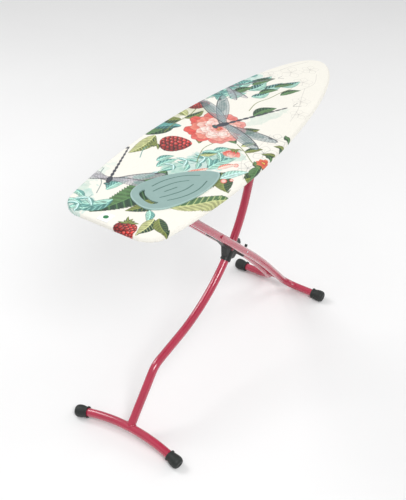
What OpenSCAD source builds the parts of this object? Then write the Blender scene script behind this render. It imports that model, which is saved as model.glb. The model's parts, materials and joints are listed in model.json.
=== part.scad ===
/* [Board] */
// Length of the board from its blunt end to the tip of its nose
board_length = 1350; // [1320:10:1380]
// Width of the board at its widest
board_width = 452; // [440:2:460]
// Height of the ironing surface above the floor
top_height = 980; // [975:1:985]
// Where the board is widest, as a part of its length from the blunt end
widest_at = 0.36; // [0.34:0.01:0.38]
// Fullness of the nose: higher is blunter
nose_power = 1.7; // [1.6:0.05:2]
// How much narrower the blunt end is on each side than the widest place
blunt_taper = 50; // [40:5:60]
// How gradually the blunt part tapers
blunt_power = 2.1; // [1.8:0.1:2.4]
// Radius of the two corners at the blunt end
corner_radius = 65; // [50:5:75]

/* [Covering and frame] */
// Thickness of the cotton cover
cover_t = 2; // [1.5:0.5:2]
// Thickness of the foam under the cover
foam_t = 6.8; // [6:0.2:7.4]
// Thickness of the steel mesh top, as a plain sheet of the same weight
mesh_t = 0.5; // [0.4:0.1:0.8]
// Height of the steel rim under the mesh
rim_h = 9.6; // [9:0.2:10]
// Thickness of the rim's steel
rim_t = 2; // [1.5:0.5:2.5]
// Width of the rim's top flange
rim_flange_w = 14; // [12:1:16]
// Width of the cover's hem under the rim
hem_w = 26; // [22:1:28]
// Width of a cross member
member_w = 30; // [26:1:34]

/* [Iron rest] */
// Half of the pad's width
pad_half_w = 85.5; // [80:0.5:90]
// Length of the pad from its widest place to its tip
pad_nose = 194; // [180:1:200]
// Length of the pad from its widest place to its heel
pad_heel = 118; // [110:1:125]
// Thickness of the pad
pad_t = 5; // [4:0.5:6]
// Turn of the pad towards the near side
pad_turn = -23.3; // [-26:0.1:-20]
// Squareness of the pad's heel
pad_power = 2.6; // [2.2:0.1:3]
// Superellipse power of its pointed half
pad_nose_power = 1.6; // [1.4:0.1:2]

/* [Legs] */
// Outer diameter of the single S-shaped leg and its foot
leg_a_d = 32; // [31:0.5:32]
// Outer diameter of the twin tubes of the other leg
leg_b_d = 30; // [28:0.5:30]
// Wall thickness of all the tubes
tube_wall = 1.2; // [1:0.1:2]
// Distance between the centre lines of the twin tubes
twin_spacing = 66; // [66:0.5:67]
// Height of the two top pivots
pivot_height = 940; // [938:1:942]
// Angle of the line between the top and the middle pivots
arm_angle = 44.34; // [44:0.1:44.6]
// Half of the distance between the two top pivots
half_span = 350; // [348:1:352]
// Place along the board of the middle pivot
pivot_x = -95; // [-97:1:-93]

/* [Feet] */
// Outer diameter of a rubber foot cap
cap_d = 47; // [46:0.5:48]
// Length of a rubber foot cap
cap_length = 58; // [54:1:60]
// Place along the board of the foot of the single leg
foot_a_x = -640; // [-645:1:-635]
// Half of the distance between the cap centres of the arched foot
foot_a_half = 207; // [200:1:208]
// Rise of the arched foot in the middle, along the leg
foot_a_rise = 28; // [20:1:34]
// Place along the board of the foot of the twin leg
foot_b_x = 450; // [445:1:455]
// Half of the distance between the cap centres of the straight foot
foot_b_half = 190; // [180:1:200]

/* [Hidden] */
$fn = 64;
near = -1;
far = 1;
running_gap = 0.05;
weld_gap = 0.05;
face_gap = 0.3;

// Colours
lacquer = [0.72, 0.2, 0.3];
black = [0.11, 0.13, 0.13];
steel = [0.72, 0.73, 0.74];
zinc = [0.6, 0.62, 0.64];

// Levels of the board's layers, from the top down
foam_top = top_height - cover_t;
mesh_top = foam_top - foam_t;
rim_top = mesh_top - mesh_t;
rim_bottom = rim_top - rim_h;
cover_bottom = rim_bottom - cover_t;
flange_t = 1.2;
member_top = rim_top - flange_t;

// Outline of the board
widest_x = (widest_at - 0.5) * board_length;
nose_length = board_length / 2 - widest_x;
heel_length = board_length - nose_length;
nose_step = 3.75;
heel_steps = 8;
corner_step = 15;

function side_width(x) =
    board_width / 2 - blunt_taper * pow((widest_x - x) / heel_length, blunt_power);
nose_side = [for (t = [0:nose_step:90])
    [widest_x + nose_length * pow(cos(t), 2 / nose_power), board_width / 2 * sin(t)]];
heel_side = [for (i = [1:heel_steps])
    let (x = widest_x - (heel_length - corner_radius) * i / heel_steps) [x, side_width(x)]];
corner_side = [for (a = [corner_step:corner_step:90])
    let (x = -board_length / 2 + corner_radius * (1 - sin(a)))
    [x, side_width(x) - corner_radius * (1 - cos(a))]];
far_side = concat(nose_side, heel_side, corner_side);
near_side = [for (i = [len(far_side) - 1:-1:1]) [far_side[i][0], -far_side[i][1]]];
outline = concat(far_side, near_side);

function unit(v) = v / norm(v);
function inward(points, i) =
    let (n = len(points), d = unit(points[(i + 1) % n] - points[(i + n - 1) % n]))
    [-d[1], d[0]];
function inset(points, by) = [for (i = [0:len(points) - 1]) points[i] + by * inward(points, i)];

module slab(by, low, high) {
    translate([0, 0, low]) linear_extrude(high - low) polygon(inset(outline, by));
}

module ring(outer, inner, low, high) {
    translate([0, 0, low]) linear_extrude(high - low) difference() {
        polygon(inset(outline, outer));
        polygon(inset(outline, inner));
    }
}

// A flat outline in X and Z, with its thickness between two places in Y
module side_plate(points, y_low, y_high) {
    translate([0, y_high, 0]) rotate([90, 0, 0]) linear_extrude(y_high - y_low) polygon(points);
}

// A cylinder along Y, between two places in Y
module cross_rod(centre, radius, y_low, y_high) {
    translate([centre[0], y_high, centre[1]]) rotate([90, 0, 0])
        cylinder(r = radius, h = y_high - y_low);
}

// Leg geometry: points are [x, z], and angles are above the floor
function heading(angle) = [cos(angle), sin(angle)];
function solve(u, v, w) =
    let (d = u[0] * v[1] - u[1] * v[0])
    [(w[0] * v[1] - w[1] * v[0]) / d, (u[0] * w[1] - u[1] * w[0]) / d];
top_b = [pivot_x - half_span, pivot_height];
top_a = [pivot_x + half_span, pivot_height];
arm = half_span / cos(arm_angle);
middle = [pivot_x, pivot_height - arm * sin(arm_angle)];
cap_axis_z = cap_d / 2 - 1;

// Twin leg: straight past the middle pivot, a slow bend, then a quarter bend into its foot
leg_b_bend = 5;
leg_b_bend_r = 3000;
foot_bend_r = 60;
leg_b_above = 12;
cap_end_t = 14;
foot_b = [foot_b_x, cap_axis_z];
leg_b_down = [cos(arm_angle), -sin(arm_angle)];
leg_b_low = [cos(arm_angle + leg_b_bend), -sin(arm_angle + leg_b_bend)];
leg_b_sides = solve(leg_b_down, leg_b_low, foot_b - top_b);
leg_b_tangent = leg_b_bend_r * tan(leg_b_bend / 2);
leg_b_upper = leg_b_sides[0] - leg_b_tangent;
leg_b_lower = leg_b_sides[1] - leg_b_tangent - foot_bend_r;

// Single leg: steep from the slide, a long curve, a short shallow run, then steep to its foot
leg_a_steep = 70.5;
leg_a_shallow = 10.4;
leg_a_foot = 48.4;
leg_a_curve_r = 597;
leg_a_kink_r = 83.5;
leg_a_flat = 128;
leg_a_turn = leg_a_steep - leg_a_shallow;
leg_a_kink = leg_a_foot - leg_a_shallow;
foot_arc_r = (foot_a_half * foot_a_half + foot_a_rise * foot_a_rise) / (2 * foot_a_rise);
foot_arc_angle = asin(foot_a_half / foot_arc_r);
foot_a = [foot_a_x, cap_axis_z] + foot_a_rise * heading(leg_a_foot);
curve_tangent = leg_a_curve_r * tan(leg_a_turn / 2);
kink_tangent = leg_a_kink_r * tan(leg_a_kink / 2);
leg_a_middle = curve_tangent + leg_a_flat + kink_tangent;
leg_a_sides = solve(heading(leg_a_steep), heading(leg_a_foot),
    top_a - foot_a - leg_a_middle * heading(leg_a_shallow));
leg_a_upper = leg_a_sides[0] - curve_tangent;
leg_a_lower = leg_a_sides[1] - kink_tangent;
curve_centre = top_a - leg_a_upper * heading(leg_a_steep)
    + leg_a_curve_r * [-sin(leg_a_steep), cos(leg_a_steep)];
function leg_a_point(angle) = curve_centre + leg_a_curve_r * [sin(angle), -cos(angle)];

// A tube swept run by run. Each run is [length, bend angle, bend radius, way the bend turns],
// and a frame is [place, across, sideways, along]
tube_sides = 24;
ring_angle = 5;
function ahead(f, d) = [f[0] + d * f[3], f[1], f[2], f[3]];
function bent(f, angle, radius, way) =
    let (inner = cos(way) * f[1] + sin(way) * f[2],
        side = cos(way) * f[2] - sin(way) * f[1],
        turned = cos(angle) * inner - sin(angle) * f[3])
    [f[0] + radius * (1 - cos(angle)) * inner + radius * sin(angle) * f[3],
        cos(way) * turned - sin(way) * side, sin(way) * turned + cos(way) * side,
        cos(angle) * f[3] + sin(angle) * inner];
function rings(f, runs, i = 0) = i == len(runs) ? [] :
    let (run = runs[i], start = ahead(f, run[0]), steps = ceil(run[1] / ring_angle),
        bends = [for (k = [1:1:steps]) bent(start, run[1] * k / steps, run[2], run[3])])
    concat([start], bends, rings(steps == 0 ? start : bends[steps - 1], runs, i + 1));
function circle_of(f, radius) = [for (k = [0:tube_sides - 1])
    let (a = 360 * k / tube_sides) f[0] + radius * (cos(a) * f[1] + sin(a) * f[2])];
function band(p, q, flip) = [for (k = [0:tube_sides - 1])
    let (j = (k + 1) % tube_sides)
    each flip ? [[p + k, p + j, q + j], [p + k, q + j, q + k]]
        : [[p + k, q + j, p + j], [p + k, q + k, q + j]]];

module swept_tube(start, runs, outer, inner) {
    frames = concat([start], rings(start, runs));
    count = len(frames);
    n = tube_sides;
    points = [for (r = [outer, inner]) each [for (f = frames) each circle_of(f, r)]];
    outside = [for (i = [0:count - 2]) each band(i * n, (i + 1) * n, false)];
    inside = [for (i = [0:count - 2]) each band((count + i) * n, (count + i + 1) * n, true)];
    first = band(0, count * n, true);
    last = band((count - 1) * n, (2 * count - 1) * n, false);
    polyhedron(points, concat(outside, inside, first, last), convexity = 8);
}

module tube_section(outer, inner) {
    difference() {
        circle(r = outer);
        circle(r = inner);
    }
}

leg_a_runs = [[leg_a_upper, leg_a_turn, leg_a_curve_r, 0],
    [leg_a_flat, leg_a_kink, leg_a_kink_r, 180], [leg_a_lower, 0, 0, 0]];
leg_a_start = [[top_a[0], 0, top_a[1]], [-sin(leg_a_steep), 0, cos(leg_a_steep)], [0, -1, 0],
    [-cos(leg_a_steep), 0, -sin(leg_a_steep)]];

foot_b_bar = foot_b_half + cap_length / 2 - cap_end_t - twin_spacing / 2 - foot_bend_r;
function leg_b_runs(side) = [[leg_b_above + leg_b_upper, leg_b_bend, leg_b_bend_r, 0],
    [leg_b_lower, 90, foot_bend_r, side * 90], [foot_b_bar, 0, 0, 0]];
function leg_b_start(side) = ahead([[top_b[0], side * twin_spacing / 2, top_b[1]],
    [-sin(arm_angle), 0, -cos(arm_angle)], [0, 1, 0],
    [cos(arm_angle), 0, -sin(arm_angle)]], -leg_b_above);

// A straight cutter along the twin leg, at a place and angle in X and Z
module leg_b_cutter(at, angle, length) {
    for (side = [near, far])
        translate([at[0], side * twin_spacing / 2, at[1]]) rotate([0, 90 + angle, 0])
            translate([0, 0, -length / 2]) cylinder(r = leg_b_d / 2 + weld_gap, h = length);
}

// Frame of the arched foot: its arc lies in the plane of Y and the leg's direction
module foot_arc_frame() {
    centre = foot_a - foot_arc_r * heading(leg_a_foot);
    translate([centre[0], 0, centre[1]]) rotate([0, -leg_a_foot, 0]) children();
}

module foot_arc(half_angle) {
    foot_arc_frame() rotate([0, 0, -half_angle])
        rotate_extrude(angle = 2 * half_angle, $fn = 900)
            translate([foot_arc_r, 0]) children();
}

// ---------- board ----------

module cover() {
    color([0.93, 0.92, 0.87]) difference() {
        slab(0, cover_bottom, top_height);
        slab(cover_t, rim_bottom, foam_top);
        slab(hem_w, cover_bottom - 1, rim_bottom + 1);
    }
}

module foam_pad() {
    color([0.85, 0.85, 0.8]) slab(cover_t, mesh_top, foam_top);
}

module top_mesh() {
    color(steel) slab(cover_t, rim_top, mesh_top);
}

module rim_frame() {
    color(steel) {
        ring(cover_t, cover_t + rim_t, rim_bottom, rim_top);
        ring(cover_t + rim_t, cover_t + rim_flange_w, member_top, rim_top);
    }
}

// The pad's outline is an ellipse at its nose and a superellipse at its heel
pad_at = [-430, -56];
pad_steps = 10;
slot_outer = 0.77;
slot_inner = 0.62;
slot_half = 45;
function heel_curve(scale, v) =
    -scale * pad_heel * pow(1 - pow(abs(v) / (scale * pad_half_w), pad_power), 1 / pad_power);
pad_front = [for (t = [-90:90 / pad_steps:90])
    [pad_nose * pow(abs(cos(t)), 2 / pad_nose_power),
    pad_half_w * pow(abs(sin(t)), 2 / pad_nose_power) * sign(t)]];
pad_back = [for (t = [90 - 90 / pad_steps:-90 / pad_steps:-89])
    let (v = pad_half_w * pow(abs(sin(t)), 0.77) * sign(t)) [heel_curve(1, v), v]];
slot_points = concat(
    [for (k = [-1:0.25:1]) [heel_curve(slot_outer, k * slot_half), k * slot_half]],
    [for (k = [1:-0.25:-1]) [heel_curve(slot_inner, k * (slot_half - 4)), k * (slot_half - 4)]]);

module iron_rest_pad() {
    color([0.6, 0.73, 0.7]) translate([pad_at[0], pad_at[1], top_height]) rotate([0, 0, pad_turn])
        linear_extrude(pad_t) difference() {
            polygon(concat(pad_front, pad_back));
            polygon(slot_points);
        }
}

label_size = [44, 42, 0.4];
label_at = [-670, -4];

module label() {
    color([0.95, 0.95, 0.93]) translate([label_at[0], label_at[1], top_height]) cube(label_size);
}

// A channel across the board, trimmed to the inside of the rim
module cross_member(x) {
    reach = board_width;
    color(steel) intersection() {
        slab(cover_t + rim_t, rim_bottom, member_top);
        difference() {
            translate([x - member_w / 2, -reach / 2, rim_bottom])
                cube([member_w, reach, member_top - rim_bottom]);
            translate([x - member_w / 2 + rim_t, -reach, rim_bottom + rim_t])
                cube([member_w - 2 * rim_t, 2 * reach, rim_h]);
        }
    }
}

// Rails that guide the sliding axle: a C section under a hat flange
rail_start = 222;
rail_end = 568;
rail_out = 70;
rail_in = 52;
rail_half_h = 10;
rail_t = 2;
ledge_t = 1.5;
slide_member_x = 240;
nose_member_x = 560;
rail_section = [[rail_out, pivot_height - rail_half_h - rail_t], [rail_out, rim_bottom],
    [rail_in, rim_bottom], [rail_in, rim_bottom - rail_t],
    [rail_out - rail_t, rim_bottom - rail_t],
    [rail_out - rail_t, pivot_height + rail_half_h + ledge_t],
    [rail_in + 2, pivot_height + rail_half_h + ledge_t], [rail_in + 2, pivot_height + rail_half_h],
    [rail_out - rail_t, pivot_height + rail_half_h],
    [rail_out - rail_t, pivot_height - rail_half_h], [rail_in + 2, pivot_height - rail_half_h],
    [rail_in + 2, pivot_height - rail_half_h - rail_t]];

module rail(side) {
    color(zinc) translate([rail_start, 0, 0]) rotate([90, 0, 90])
        linear_extrude(rail_end - rail_start)
            polygon([for (p = rail_section) [side * p[0], p[1]]]);
}

shoe_length = 30;
folded_angle = 4;
slide_travel = 2 * arm * cos(folded_angle) - 2 * half_span;
stop_t = 6;
stop_clear = 0.5;

module rail_stops() {
    stop_h = 2 * rail_half_h;
    color(black)
        for (side = [near, far], x = [top_a[0] - shoe_length / 2 - stop_clear - stop_t,
                top_a[0] + slide_travel + shoe_length / 2 + stop_clear])
            translate([x, side == far ? rail_in + 2 : 4 - rail_out - 2, pivot_height - rail_half_h])
                cube([stop_t, rail_out - rail_in - 4, stop_h]);
}

axle_b_r = 6;
bracket_in = 51.5;
bracket_t = 3;
bracket_r = 20;
bracket_foot = 28;
through = 100;

module pivot_bracket(side) {
    low = side == far ? bracket_in : -bracket_in - bracket_t;
    foot_low = side == far ? bracket_in : -bracket_in - bracket_foot;
    color(zinc) difference() {
        union() {
            cross_rod(top_b, bracket_r, low, low + bracket_t);
            translate([top_b[0] - bracket_r, low, pivot_height])
                cube([2 * bracket_r, bracket_t, rim_bottom - pivot_height]);
            translate([top_b[0] - bracket_r, foot_low, rim_bottom - 2])
                cube([2 * bracket_r, bracket_foot, 2]);
        }
        cross_rod(top_b, axle_b_r + running_gap, -through, through);
    }
}

module leg_b_axle() {
    head = bracket_in + bracket_t + face_gap;
    color(zinc) {
        cross_rod(top_b, axle_b_r, -head, head);
        cross_rod(top_b, 9, -head - 3, -head);
        cross_rod(top_b, 9, head, head + 3);
    }
}

// Release bar: a rod beside the far rail, with a toothed strip under the sliding axle
rod_at = [46, 929];
rod_r = 4;
rod_start = 168;
hanger_t = 3;
hanger_heel_x = slide_member_x - 14;
hanger_nose_x = nose_member_x - 4;
lever_arm = [12, 112, 5];
lever_x = rod_start + 2;
lever_droop = -5;

module along_rod(x) {
    translate([x, rod_at[0], rod_at[1]]) rotate([0, 90, 0]) children();
}

module release_hanger(x) {
    hanger_w = 11;
    hanger_low = rod_at[1] - 7;
    color(zinc) difference() {
        translate([x, rod_at[0] - hanger_w / 2, hanger_low])
            cube([hanger_t, hanger_w, rim_bottom - hanger_low]);
        along_rod(x - 1) cylinder(r = rod_r + running_gap, h = hanger_t + 2);
    }
}

module return_spring() {
    spring_start = rod_start + 20;
    spring_length = 26;
    color(steel) along_rod(spring_start) linear_extrude(spring_length) tube_section(6.5, 4.6);
}

comb_start = 236;
comb_end = 548;
comb_inner = 29;
comb_t = 3;
tooth_pitch = 24;
notch = 10;

module release_bar() {
    comb_low = rod_at[1] - 3;
    comb_h = 7.5;
    comb_length = comb_end - comb_start;
    color(zinc) {
        along_rod(rod_start)
            cylinder(r = rod_r, h = nose_member_x + hanger_t - rod_start);
        translate([comb_start, comb_inner, comb_low])
            cube([comb_length, rod_at[0] - comb_inner, 2]);
        difference() {
            translate([comb_start, comb_inner, comb_low]) cube([comb_length, comb_t, comb_h]);
            for (x = [comb_start + tooth_pitch / 2:tooth_pitch:comb_end])
                translate([x - notch / 2, comb_inner - 1, comb_low + 3])
                    cube([notch, comb_t + 2, comb_h]);
        }
        translate([lever_x, rod_at[0], rod_at[1]]) rotate([lever_droop, 0, 0])
            translate([0, 0, -lever_arm[2] / 2]) cube(lever_arm);
    }
}

module lever_grip() {
    grip = [56, 50, 14];
    grip_from = 106;
    round_r = grip[2] / 2;
    socket_gap = 0.1;
    color(black) translate([lever_x, rod_at[0], rod_at[1]]) rotate([lever_droop, 0, 0])
        difference() {
            translate([-20, grip_from, 0]) {
                translate([0, round_r, -round_r]) cube([grip[0], grip[1] - grip[2], grip[2]]);
                for (y = [round_r, grip[1] - round_r])
                    translate([0, y, 0]) rotate([0, 90, 0]) cylinder(r = round_r, h = grip[0]);
            }
            translate([-socket_gap, 0, -lever_arm[2] / 2 - socket_gap])
                cube(lever_arm + 2 * socket_gap * [1, 0.5, 1]);
        }
}

// ---------- twin leg ----------

bush_r = 8;
pivot_r = 5;

module leg_b_tube(side) {
    y_low = side == far ? 0 : -through;
    color(lacquer) difference() {
        swept_tube(leg_b_start(side), leg_b_runs(side), leg_b_d / 2, leg_b_d / 2 - tube_wall);
        cross_rod(top_b, bush_r + weld_gap, y_low, y_low + through);
        cross_rod(middle, pivot_r + weld_gap, y_low, y_low + through);
    }
}

module leg_b_bush(side) {
    inner_y = twin_spacing / 2 - leg_b_d / 2;
    outer_y = twin_spacing / 2 + leg_b_d / 2 + 0.2;
    color(black) difference() {
        union() {
            cross_rod(top_b, bush_r, side == far ? inner_y : -outer_y,
                side == far ? outer_y : -inner_y);
            cross_rod(top_b, 12, side == far ? outer_y : -outer_y - 3,
                side == far ? outer_y + 3 : -outer_y);
        }
        cross_rod(top_b, axle_b_r + running_gap, -through, through);
    }
}

// A short spacer tube that ties the twin tubes together just above the foot
bridge_r = 11;
bridge_back = foot_bend_r + 30;

module foot_b_bridge() {
    at = foot_b - bridge_back * leg_b_low;
    color(lacquer) difference() {
        cross_rod(at, bridge_r, -twin_spacing / 2, twin_spacing / 2);
        cross_rod(at, bridge_r - tube_wall, -twin_spacing, twin_spacing);
        leg_b_cutter(at, arm_angle + leg_b_bend, 100);
    }
}

// A rubber cap: a sleeve with a lip and a bulged closed end, along +Z from its mouth
module foot_cap(tube_d) {
    depth = cap_length - 12;
    r = cap_d / 2;
    rotate_extrude() polygon([[0, cap_length], [r - 8, cap_length], [r - 3, cap_length - 2],
        [r - 0.7, cap_length - 6], [r, cap_length - 12], [r, cap_length - 26],
        [r - 1.5, 8], [r - 1, 5], [r - 1, 2], [r - 2.5, 0], [tube_d / 2 + weld_gap, 0],
        [tube_d / 2 + weld_gap, depth], [0, depth]]);
}

module floor_cut() {
    translate([-1000, -500, -100]) cube([2000, 1000, 100]);
}

module foot_b_cap(side) {
    color(black) difference() {
        translate([foot_b[0], side * (foot_b_half - cap_length / 2), foot_b[1]])
            rotate([-side * 90, 0, 0]) foot_cap(leg_b_d);
        floor_cut();
    }
}

module pivot_bolt() {
    reach = twin_spacing / 2 + leg_b_d / 2 + face_gap;
    color(zinc) {
        cross_rod(middle, pivot_r, -reach, reach + 9);
        cross_rod(middle, 9, -reach - 4, -reach);
    }
}

module pivot_nut() {
    reach = twin_spacing / 2 + leg_b_d / 2 + face_gap;
    color(zinc) difference() {
        translate([middle[0], reach + 8, middle[1]]) rotate([90, 0, 0])
            cylinder(r = 9.2, h = 8, $fn = 6);
        cross_rod(middle, pivot_r + weld_gap, reach - 1, reach + 20);
    }
}

rivet_distance = 256;

module leg_b_rivets() {
    at = middle + rivet_distance * leg_b_down;
    tube_side = twin_spacing / 2 + leg_b_d / 2;
    color(zinc) difference() {
        for (side = [near, far])
            translate([at[0], side * (tube_side - 1), at[1]]) sphere(r = 4);
        leg_b_cutter(at, arm_angle, 60);
    }
}

// ---------- single leg ----------

top_tube_r = 11;
top_tube_half = 22;

module leg_a_tube() {
    color(lacquer) difference() {
        swept_tube(leg_a_start, leg_a_runs, leg_a_d / 2, leg_a_d / 2 - tube_wall);
        cross_rod(top_a, top_tube_r + weld_gap, -50, 50);
        foot_arc(foot_arc_angle) circle(r = leg_a_d / 2 + weld_gap);
    }
}

module foot_a_bar() {
    bar_angle = foot_arc_angle + (cap_length / 2 - cap_end_t) / foot_arc_r * 180 / PI;
    color(lacquer) foot_arc(bar_angle) tube_section(leg_a_d / 2, leg_a_d / 2 - tube_wall);
}

module foot_a_cap(side) {
    color(black) difference() {
        foot_arc_frame() rotate([0, 0, side * foot_arc_angle])
            translate([foot_arc_r, -side * cap_length / 2, 0])
                rotate([-side * 90, 0, 0]) foot_cap(leg_a_d + 1.4);
        floor_cut();
    }
}

// Black bracket at the crossing: a collar on the single leg, an arm between the twin tubes to
// the middle pivot, and a wing on the other side of the single leg
bracket_half = 13;
collar_r = 20.5;
collar_length = 44;
collar_angle = 46.2;
arm_half_w = 12;
crossing_distance = 203;
across_b = [sin(arm_angle), cos(arm_angle)];

module crossing_bracket() {
    crossing = middle + crossing_distance * leg_b_down;
    collar = leg_a_point(collar_angle);
    arm_points = [middle + arm_half_w * across_b, crossing + arm_half_w * across_b,
        collar + [0, -8], collar + [-22, 8], collar + [-24, 52],
        middle + 100 * leg_b_down - 15 * across_b, middle - arm_half_w * across_b];
    wing_points = [collar, collar + [16, -22], collar + [30, -26], collar + [48, -18],
        crossing + [32, -34], crossing + [44, -8], crossing + [36, 14], crossing + [22, 24],
        crossing + [6, 16]];
    color(black) difference() {
        union() {
            side_plate(arm_points, -bracket_half, bracket_half);
            side_plate(wing_points, -bracket_half, bracket_half);
            cross_rod(middle, 15, -bracket_half, bracket_half);
            translate([collar[0], 0, collar[1]]) rotate([0, 90 - collar_angle, 0])
                translate([0, 0, -collar_length / 2]) cylinder(r = collar_r, h = collar_length);
        }
        translate([curve_centre[0], 0, curve_centre[1]]) rotate([90, 0, 0])
            rotate([0, 0, collar_angle - 112]) rotate_extrude(angle = 48, $fn = 720)
                translate([leg_a_curve_r, 0])
                circle(r = leg_a_d / 2 + 0.2, $fn = 64);
        cross_rod(middle, pivot_r + running_gap, -50, 50);
    }
}

module fold_catch() {
    collar = leg_a_point(collar_angle);
    start = collar + [48, -18];
    catch_points = [start + [0.3, 0], start + [66, -62], start + [76, -56], start + [88, -36],
        start + [98, -20], start + [90, -14], start + [70, -42], start + [12, 4]];
    color(black) side_plate(catch_points, -4, 4);
}

module pivot_washers() {
    gap = twin_spacing / 2 - leg_b_d / 2;
    color(zinc)
        for (y = [-gap + face_gap, bracket_half + face_gap])
            difference() {
                cross_rod(middle, 12, y, y + gap - bracket_half - 2 * face_gap);
                cross_rod(middle, pivot_r + running_gap, -50, 50);
            }
}

module leg_a_top_tube() {
    color(lacquer) difference() {
        cross_rod(top_a, top_tube_r, -top_tube_half, top_tube_half);
        cross_rod(top_a, pivot_r + running_gap, -50, 50);
    }
}

// ---------- carriage ----------

shoe_in = 53;

module slide_axle() {
    color(zinc) cross_rod(top_a, pivot_r, -rail_out + 3, rail_out - 3);
}

module slide_shoe(side) {
    shoe_w = rail_out - rail_t - face_gap - shoe_in;
    low = side == far ? shoe_in : -shoe_in - shoe_w;
    shoe_h = 2 * (rail_half_h - face_gap);
    color(black) difference() {
        translate([top_a[0] - shoe_length / 2, low, pivot_height - shoe_h / 2])
            cube([shoe_length, shoe_w, shoe_h]);
        cross_rod(top_a, pivot_r + weld_gap, -through, through);
    }
}

cover();
foam_pad();
top_mesh();
rim_frame();
iron_rest_pad();
label();
cross_member(top_b[0]);  // cross_member_heel
cross_member(pivot_x);  // cross_member_middle
cross_member(slide_member_x);  // cross_member_slide
cross_member(nose_member_x);  // cross_member_nose
rail(near);  // rail_near
rail(far);  // rail_far
rail_stops();
pivot_bracket(near);  // pivot_bracket_near
pivot_bracket(far);  // pivot_bracket_far
leg_b_axle();
release_hanger(hanger_heel_x);  // release_hanger_heel
release_hanger(hanger_nose_x);  // release_hanger_nose
return_spring();
leg_b_tube(near);  // leg_b_tube_near
leg_b_tube(far);  // leg_b_tube_far
foot_b_bridge();
foot_b_cap(near);  // foot_b_cap_near
foot_b_cap(far);  // foot_b_cap_far
leg_b_bush(near);  // leg_b_bush_near
leg_b_bush(far);  // leg_b_bush_far
pivot_bolt();
pivot_nut();
leg_b_rivets();
leg_a_tube();
foot_a_bar();
foot_a_cap(near);  // foot_a_cap_near
foot_a_cap(far);  // foot_a_cap_far
crossing_bracket();
fold_catch();
pivot_washers();
leg_a_top_tube();
slide_axle();
slide_shoe(near);  // slide_shoe_near
slide_shoe(far);  // slide_shoe_far
release_bar();
lever_grip();
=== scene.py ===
"""Looks of the ironing board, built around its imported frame. Lengths are in metres, or in
millimetres where a name ends in _mm or a comment says so."""

import json
import math

import bmesh
import bpy
import numpy as np
from mathutils import Matrix, Vector
from mathutils.geometry import delaunay_2d_cdt

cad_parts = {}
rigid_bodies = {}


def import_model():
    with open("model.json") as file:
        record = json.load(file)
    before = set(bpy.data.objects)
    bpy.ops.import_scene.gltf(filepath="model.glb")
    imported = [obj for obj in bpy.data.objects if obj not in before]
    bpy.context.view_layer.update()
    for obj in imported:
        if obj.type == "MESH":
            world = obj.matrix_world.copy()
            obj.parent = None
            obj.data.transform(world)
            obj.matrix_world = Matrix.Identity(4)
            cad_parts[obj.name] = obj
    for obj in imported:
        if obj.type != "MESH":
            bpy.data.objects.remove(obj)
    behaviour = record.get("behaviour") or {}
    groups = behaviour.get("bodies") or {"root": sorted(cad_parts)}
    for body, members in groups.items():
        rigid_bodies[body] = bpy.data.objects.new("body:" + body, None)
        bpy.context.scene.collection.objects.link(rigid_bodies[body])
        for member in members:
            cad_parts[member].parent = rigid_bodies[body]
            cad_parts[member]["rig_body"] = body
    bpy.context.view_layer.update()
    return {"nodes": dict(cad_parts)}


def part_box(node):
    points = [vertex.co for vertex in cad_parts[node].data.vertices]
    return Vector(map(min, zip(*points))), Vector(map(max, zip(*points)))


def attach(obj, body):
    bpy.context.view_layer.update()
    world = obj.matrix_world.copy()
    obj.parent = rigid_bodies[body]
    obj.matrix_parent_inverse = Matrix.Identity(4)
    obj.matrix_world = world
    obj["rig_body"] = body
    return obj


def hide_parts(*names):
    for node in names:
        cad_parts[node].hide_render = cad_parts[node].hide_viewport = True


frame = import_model()
nodes = frame["nodes"]
scene = bpy.context.scene
MM = 0.001


# ---------- camera and light ----------


CAMERA_AT = (-2.40636, -1.52113, 2.58276)
CAMERA_TILT, CAMERA_TURN = 53.31, -56.03
CAMERA_LENS, CAMERA_SENSOR = 67.19, 36


def add_camera():
    data = bpy.data.cameras.new("camera")
    data.lens = CAMERA_LENS
    data.sensor_width = CAMERA_SENSOR
    data.clip_end = 60
    camera = bpy.data.objects.new("camera", data)
    camera.location = CAMERA_AT
    camera.rotation_euler = (math.radians(CAMERA_TILT), 0, math.radians(CAMERA_TURN))
    scene.collection.objects.link(camera)
    scene.camera = camera
    scene.view_settings.view_transform = "Standard"


def add_light(name, at, aim, size, power):
    data = bpy.data.lights.new(name, "AREA")
    data.shape = "DISK"
    data.size = size
    data.energy = power
    light = bpy.data.objects.new(name, data)
    light.location = at
    light.rotation_euler = (Vector(aim) - Vector(at)).to_track_quat("-Z", "Y").to_euler()
    scene.collection.objects.link(light)


# ---------- shader helpers ----------


def srgb(red, green, blue):
    """A colour given from 0 to 255, as the linear values that shaders use."""
    values = np.array([red, green, blue], float) / 255
    return np.where(values <= 0.04045, values / 12.92, ((values + 0.055) / 1.055) ** 2.4)


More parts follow.
